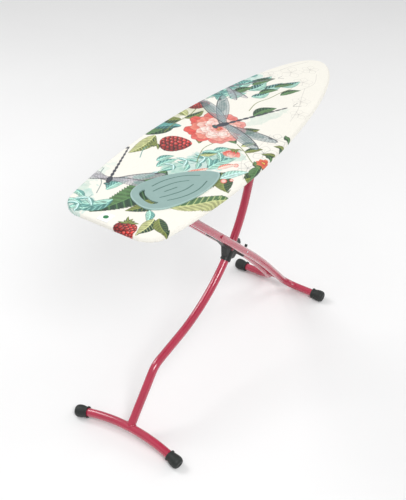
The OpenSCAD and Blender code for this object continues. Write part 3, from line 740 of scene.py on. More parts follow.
def print_design(points):
    """The cover's colours: garden flowers, berries, leaves and dragonflies on cream."""
    art = Print(points)
    # pale washes and faint drawing under everything
    for at, size, angle, colour, strength in (
        ((300, 175), (120, 46), -8, TEAL, 0.75), ((215, 205), (80, 34), 5, DARK_TEAL, 0.55),
        ((385, 140), (60, 26), -24, PALE_TEAL, 0.8), ((-235, -45), (125, 62), -28, PALE_TEAL, 0.9),
        ((-320, 10), (70, 40), 10, MINT, 0.8), ((-150, -100), (70, 40), -40, MINT, 0.6),
        ((-630, 135), (85, 42), 12, PALE_TEAL, 0.85), ((-560, 185), (60, 26), 20, MINT, 0.5),
        ((-60, 215), (90, 26), 0, PALE_OLIVE, 0.5), ((-470, 200), (90, 30), 0, PALE_TEAL, 0.35),
        ((60, 170), (70, 40), 0, PALE_OLIVE, 0.5), ((150, -60), (90, 30), -20, MINT, 0.35),
    ):
        art.wash(at, size, angle, colour, strength)
    for at, size in (((520, 40), 46), ((470, -40), 38), ((580, -10), 34), ((455, 95), 30),
                     ((330, -110), 36), ((240, -150), 34), ((-170, -190), 42), ((-60, -185), 46),
                     ((40, -175), 40)):
        line_flower(art, at, size, PENCIL if at[0] > 200 else GREY_INK, 0.45)
    for path in (((430, 150), (500, 90), (560, 70), (640, 30)), ((400, -60), (480, -80), (560, -50)),
                 ((180, -150), (270, -130), (360, -95), (430, -70)),
                 ((-240, -215), (-140, -150), (-40, -150), (60, -140))):
        art.line(path, 1.6, PENCIL, 0.6)
    # leaves behind the blunt end and the near edge
    leaf_between(art, (-330, 20), (-655, 78), 118, GREEN, DEEP_GREEN, bend=0.1, teeth=0.14,
                 veins=13)
    leaf_between(art, (-540, -60), (-205, -185), 116, OLIVE, DEEP_GREEN, bend=0.08, teeth=0.1,
                 veins=14)
    leaf_between(art, (-500, -110), (-330, -235), 74, PALE_OLIVE, GREEN, bend=-0.06, teeth=0.08,
                 veins=10)
    leaf_between(art, (-470, -60), (-590, -10), 60, OLIVE, DEEP_GREEN, bend=0.1, teeth=0.1)
    for start, tip, width in (((-560, 60), (-668, 128), 52), ((-585, 60), (-640, 176), 40),
                              ((-520, 118), (-430, 100), 44), ((-545, -70), (-600, -100), 30),
                              ((-250, -84), (-140, -128), 50), ((-330, 62), (-250, 30), 34),
                              ((-205, -20), (-150, -56), 36), ((-150, -40), (-96, -78), 34),
                              ((-300, 84), (-240, 52), 30), ((150, 196), (250, 196), 46),
                              ((235, 170), (330, 150), 46), ((300, 132), (382, 128), 46),
                              ((205, 118), (280, 92), 38), ((285, 170), (370, 176), 34)):
        leaf_between(art, start, tip, width, MINT, TEAL, bend=0.1, veins=6)
    for start, tip, width in (((330, 60), (425, 22), 44), ((300, 96), (395, 78), 50),
                              ((345, 128), (450, 84), 46), ((390, 20), (470, -28), 42),
                              ((260, 60), (330, 24), 40), ((215, 150), (300, 120), 52)):
        leaf_between(art, start, tip, width, MINT, DARK_TEAL, bend=-0.1, veins=7)
    # blunt end
    spray(art, (-560, 205), (-690, 110), 3, 62, MINT, TEAL, -0.1)
    spray(art, (-575, 130), (-665, 150), 2, 48, PALE_TEAL, TEAL, 0.1)
    art.line([(-560, 125), (-505, 150), (-470, 185), (-430, 200)], 3, DARK_TEAL, 0.8)
    leaf_between(art, (-530, 112), (-440, 84), 34, MINT, TEAL, bend=0.1)
    art.berry((-672, -70), (88, 74), 200, CRIMSON, WINE, 3)
    calyx(art, (-636, -58), 36, 10, OLIVE, DEEP_GREEN)
    leaf_between(art, (-575, -110), (-668, -112), 46, PALE_OLIVE, DEEP_GREEN, bend=0.08)
    leaf_between(art, (-565, -120), (-622, -196), 44, OLIVE, DEEP_GREEN, bend=-0.08)
    # along the near edge
    leaf_between(art, (-250, -160), (-330, -212), 62, OLIVE, DEEP_GREEN, bend=-0.12, veins=9)
    for k in range(9):
        at = np.array([-215.0 + 34 * k, -238.0 + 9 * (k % 3)])
        leaf_between(art, at, at + [(-1) ** k * 26, 34 + 6 * (k % 2)], 22,
                     OLIVE if k % 2 else GREEN, DEEP_GREEN, bend=0.1, veins=4)
    leaf_between(art, (-240, -250), (-340, -262), 50, GREEN, DEEP_GREEN, bend=0.1)
    leaf_between(art, (-235, -215), (-165, -262), 46, OLIVE, DEEP_GREEN, bend=0.1)
    leaf_between(art, (-140, -215), (-225, -252), 40, GREEN, DEEP_GREEN, bend=-0.1)
    leaf_between(art, (-275, -150), (-190, -207), 42, PALE_TEAL, MINT, bend=0.1)
    for at, size in (((-280, -168), 13), ((-262, -186), 8), ((-178, -150), 11), ((-196, -128), 8)):
        art.blob(at, (size, size * 0.8), 30, CORAL, BLUSH)
    # the middle: a rosebud, its leaves and stems
    spray(art, (-120, -60), (-300, 10), 4, 60, MINT, TEAL, 0.08)
    spray(art, (-170, -60), (-350, 40), 3, 46, PALE_TEAL, TEAL, -0.1)
    leaf_between(art, (-232, -112), (-172, -152), 26, BLUSH, SALMON, bend=0.1)
    leaf_between(art, (-300, -40), (-240, -84), 26, BLUSH, SALMON, bend=-0.1)
    art.line([(-230, -30), (-180, -10), (-140, 0), (-95, -10)], 3, OLIVE)
    leaf_between(art, (-190, -16), (-150, -58), 24, PALE_OLIVE, GREEN)
    art.line([(-60, -80), (-90, -130), (-130, -180), (-150, -220)], 3, OLIVE)
    leaf_between(art, (-66, -100), (-18, -132), 26, PALE_OLIVE, DEEP_GREEN, bend=0.1)
    leaf_between(art, (-92, -130), (-40, -172), 30, OLIVE, DEEP_GREEN, bend=0.1)
    for turn, tip_colour in ((-26, SALMON), (24, ROSE), (0, BLUSH)):
        art.petal(np.array([-96.0, -92.0]), 195 + turn, 2, 50, 34, CRIMSON * 1.2, tip_colour, turn)
    calyx(art, (-92, -92), 30, 190, OLIVE, DEEP_GREEN)
    for k in range(7):
        art.petal(np.array([-115.0, -214.0]), 360 * k / 7, 3, 20, 16, CORAL, ORANGE, k)
    art.blob((-115, -214), (6, 6), 0, WINE, srgb(240, 190, 90))
    # far side
    leaf_between(art, (-165, 188), (-312, 192), 56, PALE_OLIVE, OLIVE, bend=0.08, veins=12)
    art.line([(-312, 142), (-260, 165), (-215, 160), (-185, 172)], 3, TEAL)
    leaf_between(art, (-50, 190), (-185, 222), 56, GREEN, DEEP_GREEN, bend=0.1, veins=9)
    leaf_between(art, (-60, 150), (-140, 232), 44, TEAL, DARK_TEAL, bend=-0.1)
    leaf_between(art, (-20, 180), (-70, 250), 46, OLIVE, DEEP_GREEN, bend=0.1)
    leaf_between(art, (10, 176), (60, 236), 40, PALE_OLIVE, OLIVE, bend=0.1)
    art.line([(-130, 175), (-60, 180), (20, 172), (70, 178)], 3.4, OLIVE)
    art.berry((-172, 96), (112, 104), -55, CRIMSON, WINE, 1)
    calyx(art, (-206, 150), 46, 125, OLIVE, DEEP_GREEN)
    art.berry((106, 192), (88, 72), -50, CRIMSON, WINE, 2)
    calyx(art, (76, 226), 36, 130, OLIVE, DEEP_GREEN)
    leaf_between(art, (-10, 172), (76, 148), 34, OLIVE, DEEP_GREEN, bend=-0.1)
    # the peony and what stands round it
    leaf_between(art, (-60, 90), (-128, 30), 46, OLIVE, DEEP_GREEN, bend=0.1)
    leaf_between(art, (20, -30), (70, -92), 44, OLIVE, DEEP_GREEN, bend=-0.1)
    leaf_between(art, (-40, -10), (-60, -76), 40, GREEN, DEEP_GREEN, bend=0.1)
    peony(art, np.array([-4.0, 30.0]), 108)
    leaf_between(art, (140, -22), (238, -62), 52, GREEN, DEEP_GREEN, bend=0.12, teeth=0.1)
    for start, tip, width in (((345, 108), (440, 62), 36), ((300, 52), (365, 6), 32),
                              ((375, 30), (436, -22), 28), ((330, -22), (408, -66), 30),
                              ((250, 130), (330, 96), 40), ((170, 150), (250, 150), 44)):
        leaf_between(art, start, tip, width, MINT if tip[0] < 300 else GREEN, DEEP_GREEN
                     if tip[0] > 300 else TEAL, bend=0.1, veins=7)
    art.line([(165, 12), (230, 20), (290, 0), (350, -12), (400, -30)], 3, OLIVE)
    art.line([(160, 130), (250, 120), (330, 70), (380, 50)], 2.6, DARK_TEAL, 0.8)
    spray(art, (170, 190), (395, 150), 5, 56, TEAL, DARK_TEAL, 0.05, 0.85)
    # the dragonflies lie over everything
    art.dragonfly((-500, 132), (-250, 224), 185, MAUVE, INK, TEAL, (26, -4), 0.6)
    art.dragonfly((0, 50), (292, -108), 225, SLATE, INK, DARK_TEAL, (30, 2), 0.6)
    art.dragonfly((255, 196), (455, 52), 120, MAUVE, GREY_INK, SLATE, (24, -6), 0.45)
    return np.clip(art.rgb, 0, 1)


# ---------- the cover ----------

AROUND = 1700
INSIDE_STEP = 1.9
SPINE_SHRINK = 0.84
COVER_TOP = 979.7
HEM_HEIGHT = 959.35
EDGE_ROLL, FOLD_R = 9.2, 6


def cover_profile():
    """(outward distance, height, distance along the cloth outwards from the edge) for the rings
    from the hem's casing round the edge to the top, in millimetres."""
    casing = [(-19.0 - 4.2 * math.sin(a), 960.25 + 0.95 * math.cos(a))
              for a in np.linspace(-0.6, 3.4, 12)]
    under = [(-o, HEM_HEIGHT) for o in np.linspace(17, 7, 6)]
    a = np.linspace(0, math.pi / 2, 6)
    corner = list(zip(-FOLD_R + FOLD_R * np.sin(a), HEM_HEIGHT + FOLD_R - FOLD_R * np.cos(a)))
    wall = [(0.35 * math.sin(k), HEM_HEIGHT + FOLD_R + k * 1.45) for k in range(1, 4)]
    b = np.linspace(0, math.pi / 2, 11)
    roll = list(zip(-EDGE_ROLL + EDGE_ROLL * np.cos(b),
                    COVER_TOP - EDGE_ROLL + EDGE_ROLL * np.sin(b)))
    path = np.array(casing + under + corner + wall + roll)
    steps = np.linalg.norm(np.diff(path, axis=0), axis=1)
    along = np.concatenate([[0], np.cumsum(steps)])
    return path, along[-1] - along - 14.5


def add_cover():
    points, normals = outline(AROUND)
    profile, cloth = cover_profile()
    count = len(points)
    angle = np.arange(count) / count
    turn = np.linalg.norm(np.roll(normals, -8, 0) - np.roll(normals, 8, 0), axis=1)
    tight = fade(0.01, 0.16, turn)
    gather = np.zeros(count)
    for waves, phase, share in ((150, 0.3, 0.5), (233, 1.9, 0.35), (87, 4.0, 0.4)):
        gather += share * np.sin(2 * math.pi * waves * angle + phase + 2.2 * np.sin(
            2 * math.pi * 13 * angle + phase))
    gather *= 0.35 + 1.1 * tight
    rows, flat = [], []
    for (out, z), far_out in zip(profile, cloth):
        loose = fade(978.5, 962.0, z)
        shift = gather * loose
        under = fade(962.0, 960.0, z)
        place = points + normals * (out + shift * (1 - under))[:, None]
        height = np.full(count, z) + 0.35 * gather * under
        rows.append(np.concatenate([place, height[:, None]], 1))
        flat.append(points + normals * far_out)
    edge = points - normals * EDGE_ROLL
    spine = np.stack([edge[:, 0] * SPINE_SHRINK - 8, np.zeros(count)], 1)
    inside = int(WIDTH / 2 / INSIDE_STEP)
    for k in range(1, inside + 1):
        f = k / inside
        place = edge + (spine - edge) * f
        near_edge = 1 - fade(0.0, 0.25, f)
        soft = 0.5 * (fractal(place[:, 0] / 90, place[:, 1] / 90) - 0.5)
        pull = 0.22 * near_edge * gather * tight
        height = COVER_TOP + (soft + pull) * fade(0, 0.06, f)
        rows.append(np.concatenate([place, height[:, None]], 1))
        flat.append(place)
    vertices = np.concatenate(rows)
    flat = np.concatenate(flat)
    faces = ring_faces(len(rows), count)
    cover = add_piece("cover_cloth", vertices * MM, faces, "cotton", "board")
    set_attribute(cover, "print", print_design(flat))
    # the two sides meet along the spine
    merge_close(cover, ((len(rows) - 1) * count, len(rows) * count))
    area = sum(p.area for p in cover.data.polygons)
    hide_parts("cover")
    return cover, area


def add_hem_stitches():
    """A row of stitches round the hem's casing, seen from below."""
    points, normals = outline(560)
    place = points - normals * 17.0
    ahead = np.stack([-normals[:, 1], normals[:, 0]], 1)
    vertices, faces = [], []
    ring = 6
    for (x, y), (dx, dy), (nx, ny) in zip(place, ahead, normals):
        base = len(vertices)
        for along, radius in ((-1.5, 0.12), (-0.9, 0.34), (0.9, 0.34), (1.5, 0.12)):
            for k in range(ring):
                a = 2 * math.pi * k / ring
                c, s = radius * math.cos(a), radius * math.sin(a)
                vertices.append((x + dx * along + nx * c, y + dy * along + ny * c, 959.25 + s))
        faces += [[base + i for i in quad] for quad in ring_faces(4, ring).tolist()]
        faces.append([base + k for k in reversed(range(ring))])
        faces.append([base + 3 * ring + k for k in range(ring)])
    stitches = add_piece("hem_stitches", np.array(vertices) * MM, faces, "thread", "board")
    return stitches


# ---------- foam and the mesh top ----------


def add_foam():
    """A foam sheet with a rounded edge and a slightly uneven underside just above the mesh."""
    count = 700
    points, normals = outline(count)
    profile = [(-4.4, 971.35), (-3.2, 971.9), (-2.5, 973.2), (-2.3, 974.6), (-2.6, 976.0),
               (-3.6, 977.1), (-5.0, 977.6)]
    rows = []
    spine_bottom = np.stack([points[:, 0] * SPINE_SHRINK - 8, np.zeros(count)], 1)
    inside = 60
    edge = points - normals * 5
    for f in np.linspace(1, 0, inside):
        place = edge + (spine_bottom - edge) * f
        height = 971.3 + 0.12 * (fractal(place[:, 0] / 14, place[:, 1] / 14, 2) - 0.5)
        rows.append(np.concatenate([place, height[:, None]], 1))
    for out, z in profile:
        rows.append(np.concatenate([points + normals * out, np.full((count, 1), z)], 1))
    for f in np.linspace(0.05, 1, 30):
        place = edge + (spine_bottom - edge) * f
        crown = 977.6 + 0.25 * fade(0, 0.2, f)
        rows.append(np.concatenate([place, np.full((count, 1), crown)], 1))
    vertices = np.concatenate(rows)
    piece = add_piece("foam_sheet", vertices * MM, ring_faces(len(rows), count), "foam", "board")
    merge_close(piece, (0, count), ((len(rows) - 1) * count, len(rows) * count))
    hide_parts("foam_pad")


MESH_LOW, MESH_HIGH = 970.72, 971.2
HOLE_PITCH = (25.0, 12.5)
HOLE_HALF = (10.6, 4.5)


def add_mesh_top():
    """Expanded steel: a sheet of long diamond openings inside a plain border."""
    points, normals = outline(360)
    border = points - normals * 2.2
    inner, inner_normals = outline(120)
    limit = inner - inner_normals * 20
    loops = [border]
    across = int(WIDTH / HOLE_PITCH[1]) + 2
    along = int(LENGTH / HOLE_PITCH[0]) + 2
    diamond = np.array([[1, 0], [0.12, 1], [-0.12, 1], [-1, 0], [-0.12, -1], [0.12, -1]])
    for i in range(-along, along + 1):
        for j in range(-across, across + 1):
            centre = np.array([(i + 0.5 * (j % 2)) * HOLE_PITCH[0], j * HOLE_PITCH[1] / 2])
            gap = ((limit - centre) * inner_normals).sum(1).min()
            if gap > HOLE_HALF[1] + 1:
                loops.append(centre + diamond * HOLE_HALF)
    flat = np.concatenate(loops)
    starts = np.concatenate([[0], np.cumsum([len(loop) for loop in loops])])
    rings = [list(range(a, b)) for a, b in zip(starts[:-1], starts[1:])]
    found = delaunay_2d_cdt([Vector(p) for p in flat], [], rings, 3, 1e-4)
    plate = np.array([tuple(v) for v in found[0]])
    triangles = [list(f) for f in found[2]]
    count = len(plate)
    low = np.concatenate([plate, np.full((count, 1), MESH_LOW)], 1)
    high = np.concatenate([plate, np.full((count, 1), MESH_HIGH)], 1)
    faces = [[i for i in reversed(f)] for f in triangles] + [[i + count for i in f] for f in triangles]
    sides = {}
    for f in triangles:
        for a, b in zip(f, f[1:] + f[:1]):
            sides[(a, b)] = sides.get((a, b), 0) + 1
    for a, b in sides:
        if (b, a) not in sides:
            faces.append([a, b, b + count, a + count])
    piece = add_piece("expanded_mesh", np.concatenate([low, high]) * MM, faces, "board_steel",
                      "board", smooth=False)
    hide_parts("top_mesh")


# ---------- the iron rest and the label ----------

PAD_AT = (-430, -56)
PAD_TURN = -23.3
PAD_HALF_W, PAD_NOSE, PAD_HEEL = 85.5, 194, 118
HEEL_POWER, PAD_TIP_POWER = 2.6, 1.6
SLOT = (0.62, 0.77)
SLOT_HALF = 45


def pad_outline(count):
    """The pad's outline about its own centre, evenly spaced by angle."""
    a = np.linspace(0, 2 * math.pi, count, endpoint=False)
    c, s = np.cos(a), np.sin(a)
    nose, heel = (
        1 / ((np.abs(c) / length) ** power + (np.abs(s) / PAD_HALF_W) ** power) ** (1 / power)
        for length, power in ((PAD_NOSE, PAD_TIP_POWER), (PAD_HEEL, HEEL_POWER)))
    radius = np.where(c >= 0, nose, heel)
    return np.stack([radius * c, radius * s], 1)


GROOVE_HALF, GROOVE_DEPTH = 1.9, 1.5
GROOVES = (
    ((-28, 48), (0, 54), (30, 56), (60, 53), (92, 44), (133, 21)),
    ((-40, 21), (-14, 25), (30, 27), (56, 24), (86, 14)),
    ((-10, 0), (14, 0), (34, 0)),
)


def distance_to(path, points):
    """How far points lie from a line through path."""
    least = np.full(len(points), 1e9)
    for a, b in zip(path, path[1:]):
        along = np.clip(((points - a) @ (b - a)) / ((b - a) @ (b - a)), 0, 1)
        gap = points - a - along[:, None] * (b - a)
        least = np.minimum(least, np.hypot(gap[:, 0], gap[:, 1]))
    return least


def add_iron_rest():
    """A silicone pad with thin grooves, a softened rim and an open crescent near its heel."""
    around = 600
    shape = pad_outline(around)
    scales = np.concatenate([np.linspace(0.01, 0.972, 190), [0.98, 0.987, 0.993, 0.998, 1.0]])
    turn = Matrix.Rotation(math.radians(PAD_TURN), 3, "Z")
    flat = (shape[None, :, :] * scales[:, None, None]).reshape(-1, 2)
    gap = np.full(len(flat), 1e9)
    for points in GROOVES:
        line = curve_through(np.array(points, float), 12)
        gap = np.minimum(gap, distance_to(line, flat))
        gap = np.minimum(gap, distance_to(line * [1, -1], flat))
    groove = (1 - fade(GROOVE_HALF - 0.9, GROOVE_HALF + 0.9, gap)).reshape(len(scales), around)
    # painted light: rim lightens the colour as a painted highlight, and the grooves darken it as
    # painted shade, on top of their real depth
    rim = fade(0.955, 0.975, scales)[:, None] * np.ones(around)
    painted_lightness_grid = 0.62 * (1 - groove) + 0.25 * rim
    edge = 1.1 * fade(0.972, 1.0, scales) ** 2
    heights = 4.9 - GROOVE_DEPTH * groove - edge[:, None]
    vertices = np.concatenate([flat, heights.reshape(-1, 1)], 1)
    painted_lightness = painted_lightness_grid.ravel()
    middle_height = heights[0].mean()
    grid = ring_faces(len(scales), around)
    row_of = grid[:, 0] // around
    middle = (vertices[grid].mean(1))
    level = (scales[row_of] + scales[np.minimum(row_of + 1, len(scales) - 1)]) / 2
    in_slot = (level > SLOT[0]) & (level < SLOT[1]) & (np.abs(middle[:, 1]) < SLOT_HALF) & (
        middle[:, 0] < 0)
    taper = (level - sum(SLOT) / 2) / (SLOT[1] - SLOT[0]) * 2
    in_slot &= np.abs(middle[:, 1]) < SLOT_HALF * np.sqrt(np.clip(1 - 0.35 * taper ** 2, 0, 1))
    top = grid[~in_slot]
    centre = len(vertices)
    vertices = np.concatenate([vertices, [[0, 0, middle_height]], vertices * [1, 1, 0] + [0, 0, 0.05],
                               [[0, 0, 0.05]]])
    painted_lightness = np.concatenate([painted_lightness, [0], painted_lightness, [0]])
    offset = centre + 1
    faces = top[:, ::-1].tolist() + (top + offset).tolist()
    faces += [[centre, k, (k + 1) % around] for k in range(around)]
    faces += [[centre + offset, (k + 1) % around + offset, k + offset] for k in range(around)]
    edges = {}
    for a, b, c, d in faces[:len(top)]:
        for pair in ((a, b), (b, c), (c, d), (d, a)):
            edges[pair] = True
    for a, b, c in faces[2 * len(top):2 * len(top) + around]:
        for pair in ((a, b), (b, c), (c, a)):
            edges[pair] = True
    faces += [[b, a, a + offset, b + offset] for a, b in edges if (b, a) not in edges]
    placed = np.array([turn @ Vector(v) for v in vertices]) + [PAD_AT[0], PAD_AT[1], TOP]
    piece = add_piece("iron_rest", placed * MM, faces, "silicone", "board")
    set_attribute(piece, "painted_lightness", painted_lightness)
    fix_normals(piece)
    piece.data.set_sharp_from_angle(angle=math.radians(50))
    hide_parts("iron_rest_pad")


LABEL_AT, LABEL_SIZE = (-670, -4), (44, 42)


def add_label():
    """A blank woven label with a plain green dot and a line of stitches round its edge."""
    n = 72
    x, y = np.meshgrid(np.linspace(0, 1, n), np.linspace(0, 1, n), indexing="ij")
    edge = np.minimum.reduce([x, 1 - x, y, 1 - y]).ravel()
    height = 0.12 + 0.4 * fade(0, 0.05, edge) - 0.12 * (1 - fade(0, 0.02, np.abs(edge - 0.08)))
    height += 0.06 * noise(x.ravel() * 4, y.ravel() * 4)
    flat = np.stack([LABEL_AT[0] + x.ravel() * LABEL_SIZE[0], LABEL_AT[1] + y.ravel()
                     * LABEL_SIZE[1]], 1)
    vertices = np.concatenate([flat, (TOP + height - 0.12)[:, None]], 1)
    grid = ring_faces(n, n, closed=False)
    piece = add_piece("blank_label", vertices * MM, grid, "label", "board")
    radius = np.hypot(*(flat - [LABEL_AT[0] + 22, LABEL_AT[1] + 21]).T)
    colour = np.tile(srgb(250, 252, 252), (len(flat), 1))
    # painted shade: the colour darkens towards the label's edge, where it rolls down to the cloth
    colour *= (0.82 + 0.18 * fade(0.0, 0.05, edge))[:, None]
    green = srgb(28, 124, 72)
    disc = 1 - fade(8.4, 9.6, radius)
    mark = disc[:, None]
    colour += (green - colour) * mark
    set_attribute(piece, "mark", colour)
    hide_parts("label")


# ---------- tubes ----------


def rings_around(points, ahead, side, radii, sides):
    """Rings of points facing ahead, each turned as little as possible from the one before."""
    a = np.linspace(0, 2 * math.pi, sides, endpoint=False)
    rows = []
    for place, way, radius in zip(points, ahead, radii):
        side = side - way * (side @ way)
        side /= np.linalg.norm(side)
        other = np.cross(way, side)
        rows.append(place + radius * (np.cos(a)[:, None] * side + np.sin(a)[:, None] * other))
    return np.concatenate(rows)


def sweep(points, radii, sides=40, twist_up=(0, 0, 1)):
    """Rings of points round a smooth path."""
    points = np.asarray(points, float)
    ahead = np.gradient(points, axis=0)
    ahead /= np.linalg.norm(ahead, axis=1)[:, None]
    side = np.cross(ahead[0], twist_up)
    if np.linalg.norm(side) < 1e-6:
        side = np.cross(ahead[0], (0, 1, 0))
    side /= np.linalg.norm(side)
    return rings_around(points, ahead, side, radii, sides)


TUBE_WALL, TUBE_SIDES = 1.2, 40


def tube(name, path, radius, finish, body, replaced=()):
    """A hollow tube along a path in millimetres, with rounded lips at its open ends."""
    path = np.asarray(path, float)
    start = (path[1] - path[0]) / np.linalg.norm(path[1] - path[0])
    end = (path[-1] - path[-2]) / np.linalg.norm(path[-1] - path[-2])
    inner = radius - TUBE_WALL
    ends = ((25, inner), (0.5, inner), (0.12, inner + 0.3), (0, radius - 0.5), (0.12, radius - 0.15),
            (0.5, radius))
    points = [path[0] + start * d for d, _ in ends] + list(path[1:-1])
    points += [path[-1] - end * d for d, _ in reversed(ends)]
    radii = [r for _, r in ends] + [radius] * (len(path) - 2) + [r for _, r in reversed(ends)]
    side_frame = tube_rings(points, radii, start, end, len(ends), TUBE_SIDES)
    piece = add_piece(name, side_frame * MM, ring_faces(len(points), TUBE_SIDES)[:, ::-1], finish, body)
    if replaced:
        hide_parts(*replaced)
    return piece


def tube_rings(points, radii, start, end, lip, sides):
    """Rings whose direction at the lips is the tube's own."""
    points = np.asarray(points, float)
    ahead = np.zeros_like(points)
    ahead[1:-1] = points[2:] - points[:-2]
    ahead[:lip] = start
    ahead[-lip:] = end
    ahead /= np.linalg.norm(ahead, axis=1)[:, None]
    side = np.cross(ahead[0], (0, 1, 0.013))
    side /= np.linalg.norm(side)
    return rings_around(points, ahead, side, radii, sides)


def heading(angle):
    """A direction in X and Z, at an angle above the floor."""
    a = math.radians(angle)
    return np.array([math.cos(a), 0.0, math.sin(a)])


Y_AXIS = np.array([0.0, 1.0, 0.0])


def bend(path, way, toward, radius, angle, step=1.5):
    """Adds to a path an arc from heading way, curving toward a side, and returns the new way."""
    start = path[-1]
    centre = start + toward * radius
    count = max(2, int(math.ceil(angle / step)))
    for k in range(1, count + 1):
        a = math.radians(angle * k / count)
        path.append(centre - toward * radius * math.cos(a) + way * radius * math.sin(a))
    a = math.radians(angle)
    return way * math.cos(a) + toward * math.sin(a)


def straight(path, way, length):
    step = 25.0
    start = path[-1]
    count = max(1, int(round(length / step)))
    path.extend(start + way * length * k / count for k in range(1, count + 1))


def meet(first, second, total):
    """How far along two directions in X and Z together cover a displacement."""
    return np.linalg.solve(np.array([first[[0, 2]], second[[0, 2]]]).T, total[[0, 2]])


ARM_ANGLE = 44.34
HALF_SPAN = 350
PIVOT_X, PIVOT_HEIGHT = -95, 940
ARM = HALF_SPAN / math.cos(math.radians(ARM_ANGLE))
TOP_A = np.array([PIVOT_X + HALF_SPAN, 0.0, PIVOT_HEIGHT])
TOP_B = np.array([PIVOT_X - HALF_SPAN, 0.0, PIVOT_HEIGHT])
LEG_A_R, LEG_B_R = 16.0, 15.0
CAP_R, CAP_LENGTH, CAP_END = 23.5, 58, 14
CAP_AXIS = CAP_R - 1
TWIN_HALF = 33.0
FOOT_A_HALF, FOOT_A_RISE = 207, 28
FOOT_B_X, FOOT_B_HALF = 450, 190
STEEP, SHALLOW, FOOT_ANGLE = 70.5, 10.4, 48.4
CURVE_R, KINK_R, FLAT_RUN = 597, 83.5, 128
ARC_R = (FOOT_A_HALF ** 2 + FOOT_A_RISE ** 2) / (2 * FOOT_A_RISE)
ARC_ANGLE = math.degrees(math.asin(FOOT_A_HALF / ARC_R))
FOOT_A = np.array([-640.0, 0, CAP_AXIS]) + FOOT_A_RISE * heading(FOOT_ANGLE)
SLOW_BEND, SLOW_R, FOOT_BEND_R = 5.0, 3000, 60


def leg_a_path():
    """From the top pivot down the S to the middle of the arched foot."""
    curve = CURVE_R * math.tan(math.radians((STEEP - SHALLOW) / 2))
    kink = KINK_R * math.tan(math.radians((FOOT_ANGLE - SHALLOW) / 2))
    level = curve + FLAT_RUN + kink
    upper, lower = meet(heading(STEEP), heading(FOOT_ANGLE),
                        TOP_A - FOOT_A - level * heading(SHALLOW))
    path = [TOP_A.copy()]
    way = -heading(STEEP)
    straight(path, way, upper - curve)
    way = bend(path, way, -np.cross(way, Y_AXIS), CURVE_R, STEEP - SHALLOW)
    straight(path, way, FLAT_RUN)
    way = bend(path, way, np.cross(way, Y_AXIS), KINK_R, FOOT_ANGLE - SHALLOW)
    straight(path, way, lower - kink)
    return path


def foot_a_path():
    extra = CAP_LENGTH / 2 - CAP_END
    reach = ARC_ANGLE + math.degrees(extra / ARC_R)
    centre = FOOT_A - ARC_R * heading(FOOT_ANGLE)
    return [centre + ARC_R * (math.cos(math.radians(a)) * heading(FOOT_ANGLE)
                              + math.sin(math.radians(a)) * Y_AXIS)
            for a in np.linspace(-reach, reach, 90)]


def leg_b_path(side):
    """From above the top pivot, past the middle pivot, round into half of the straight foot."""
    down, low = heading(-ARM_ANGLE), heading(-ARM_ANGLE - SLOW_BEND)
    foot = np.array([FOOT_B_X, 0.0, CAP_AXIS])
    upper, lower = meet(down, low, foot - TOP_B)
    slow = SLOW_R * math.tan(math.radians(SLOW_BEND / 2))
    above = 12
    path = [TOP_B + side * TWIN_HALF * Y_AXIS - above * down]
    straight(path, down, above + upper - slow)
    way = bend(path, down, np.cross(down, Y_AXIS) * -1, SLOW_R, SLOW_BEND, 0.5)
    straight(path, way, lower - slow - FOOT_BEND_R)
    way = bend(path, way, side * Y_AXIS, FOOT_BEND_R, 90, 4)
    straight(path, way, FOOT_B_HALF + CAP_LENGTH / 2 - CAP_END - TWIN_HALF - FOOT_BEND_R)
    return path


WELD_SIZE = 2.4


def add_weld(name, at, axis, radius, body):
    """A rippled bead where a tube ends on the side of another of the same size."""
    axis = np.asarray(axis, float)
    across = np.cross(axis, Y_AXIS)
    path, radii = [], []
    count = 150
    for k in range(count + 1):
        a = 2 * math.pi * k / count
        rise = radius * math.sqrt(math.sin(a) ** 2 + 0.03)
        path.append(at + axis * (rise + 0.2) + radius * 1.02
                    * (math.cos(a) * across + math.sin(a) * Y_AXIS))
        radii.append(WELD_SIZE + 0.28 * math.sin(34 * a))
    path = np.array(path)
    rings = sweep(path, radii, 14, tuple(axis))
    piece = add_piece(name, rings * MM, ring_faces(count + 1, 14), "lacquer", body)
    fix_normals(piece)


def add_legs():
    path = leg_a_path()
    leg_a = tube("leg_a_s_tube", path, LEG_A_R, "lacquer", "leg_a", ["leg_a_tube"])
    bar_a = tube("foot_a_arched_tube", foot_a_path(), LEG_A_R, "lacquer", "leg_a", ["foot_a_bar"])
    pieces = [leg_a, bar_a]
    for side, word in ((-1, "near"), (1, "far")):
        pieces.append(tube("leg_b_bent_tube_" + word, leg_b_path(side), LEG_B_R, "lacquer", "leg_b",
                           ["leg_b_tube_" + word]))
    for piece in pieces:
        fix_normals(piece)
    add_weld("foot_a_weld", FOOT_A, heading(FOOT_ANGLE), LEG_A_R, "leg_a")


# ---------- foot caps ----------


def cap_profile(tube_r):
    """(radius, distance from the mouth) of a cap with a rolled lip, a groove and a bulged end."""
    r = CAP_R
    shape = [(tube_r + 0.1, 14.0), (tube_r + 0.1, 6.6), (tube_r + 0.7, 5.5), (r - 3.6, 5.0),
             (r - 2.2, 5.5), (r - 1.5, 6.8), (r - 1.5, 9.0), (r - 2.2, 10.6), (r - 3.7, 11.8),
             (r - 4.4, 13.4), (r - 4.2, 15.5), (r - 3.4, 19), (r - 2.1, 24), (r - 0.9, 30),
             (r - 0.1, 37)]
    for a in np.linspace(0, 90, 14):
        a = math.radians(a)
        shape.append((r - 11 + 11 * math.cos(a) ** 0.85, 43 + 15 * math.sin(a) ** 1.05))
    shape += [(r - 14, 58.0), (r - 16, 57.6), (r - 17, 56.8), (4, 56.5), (0.05, 56.5)]
    return shape


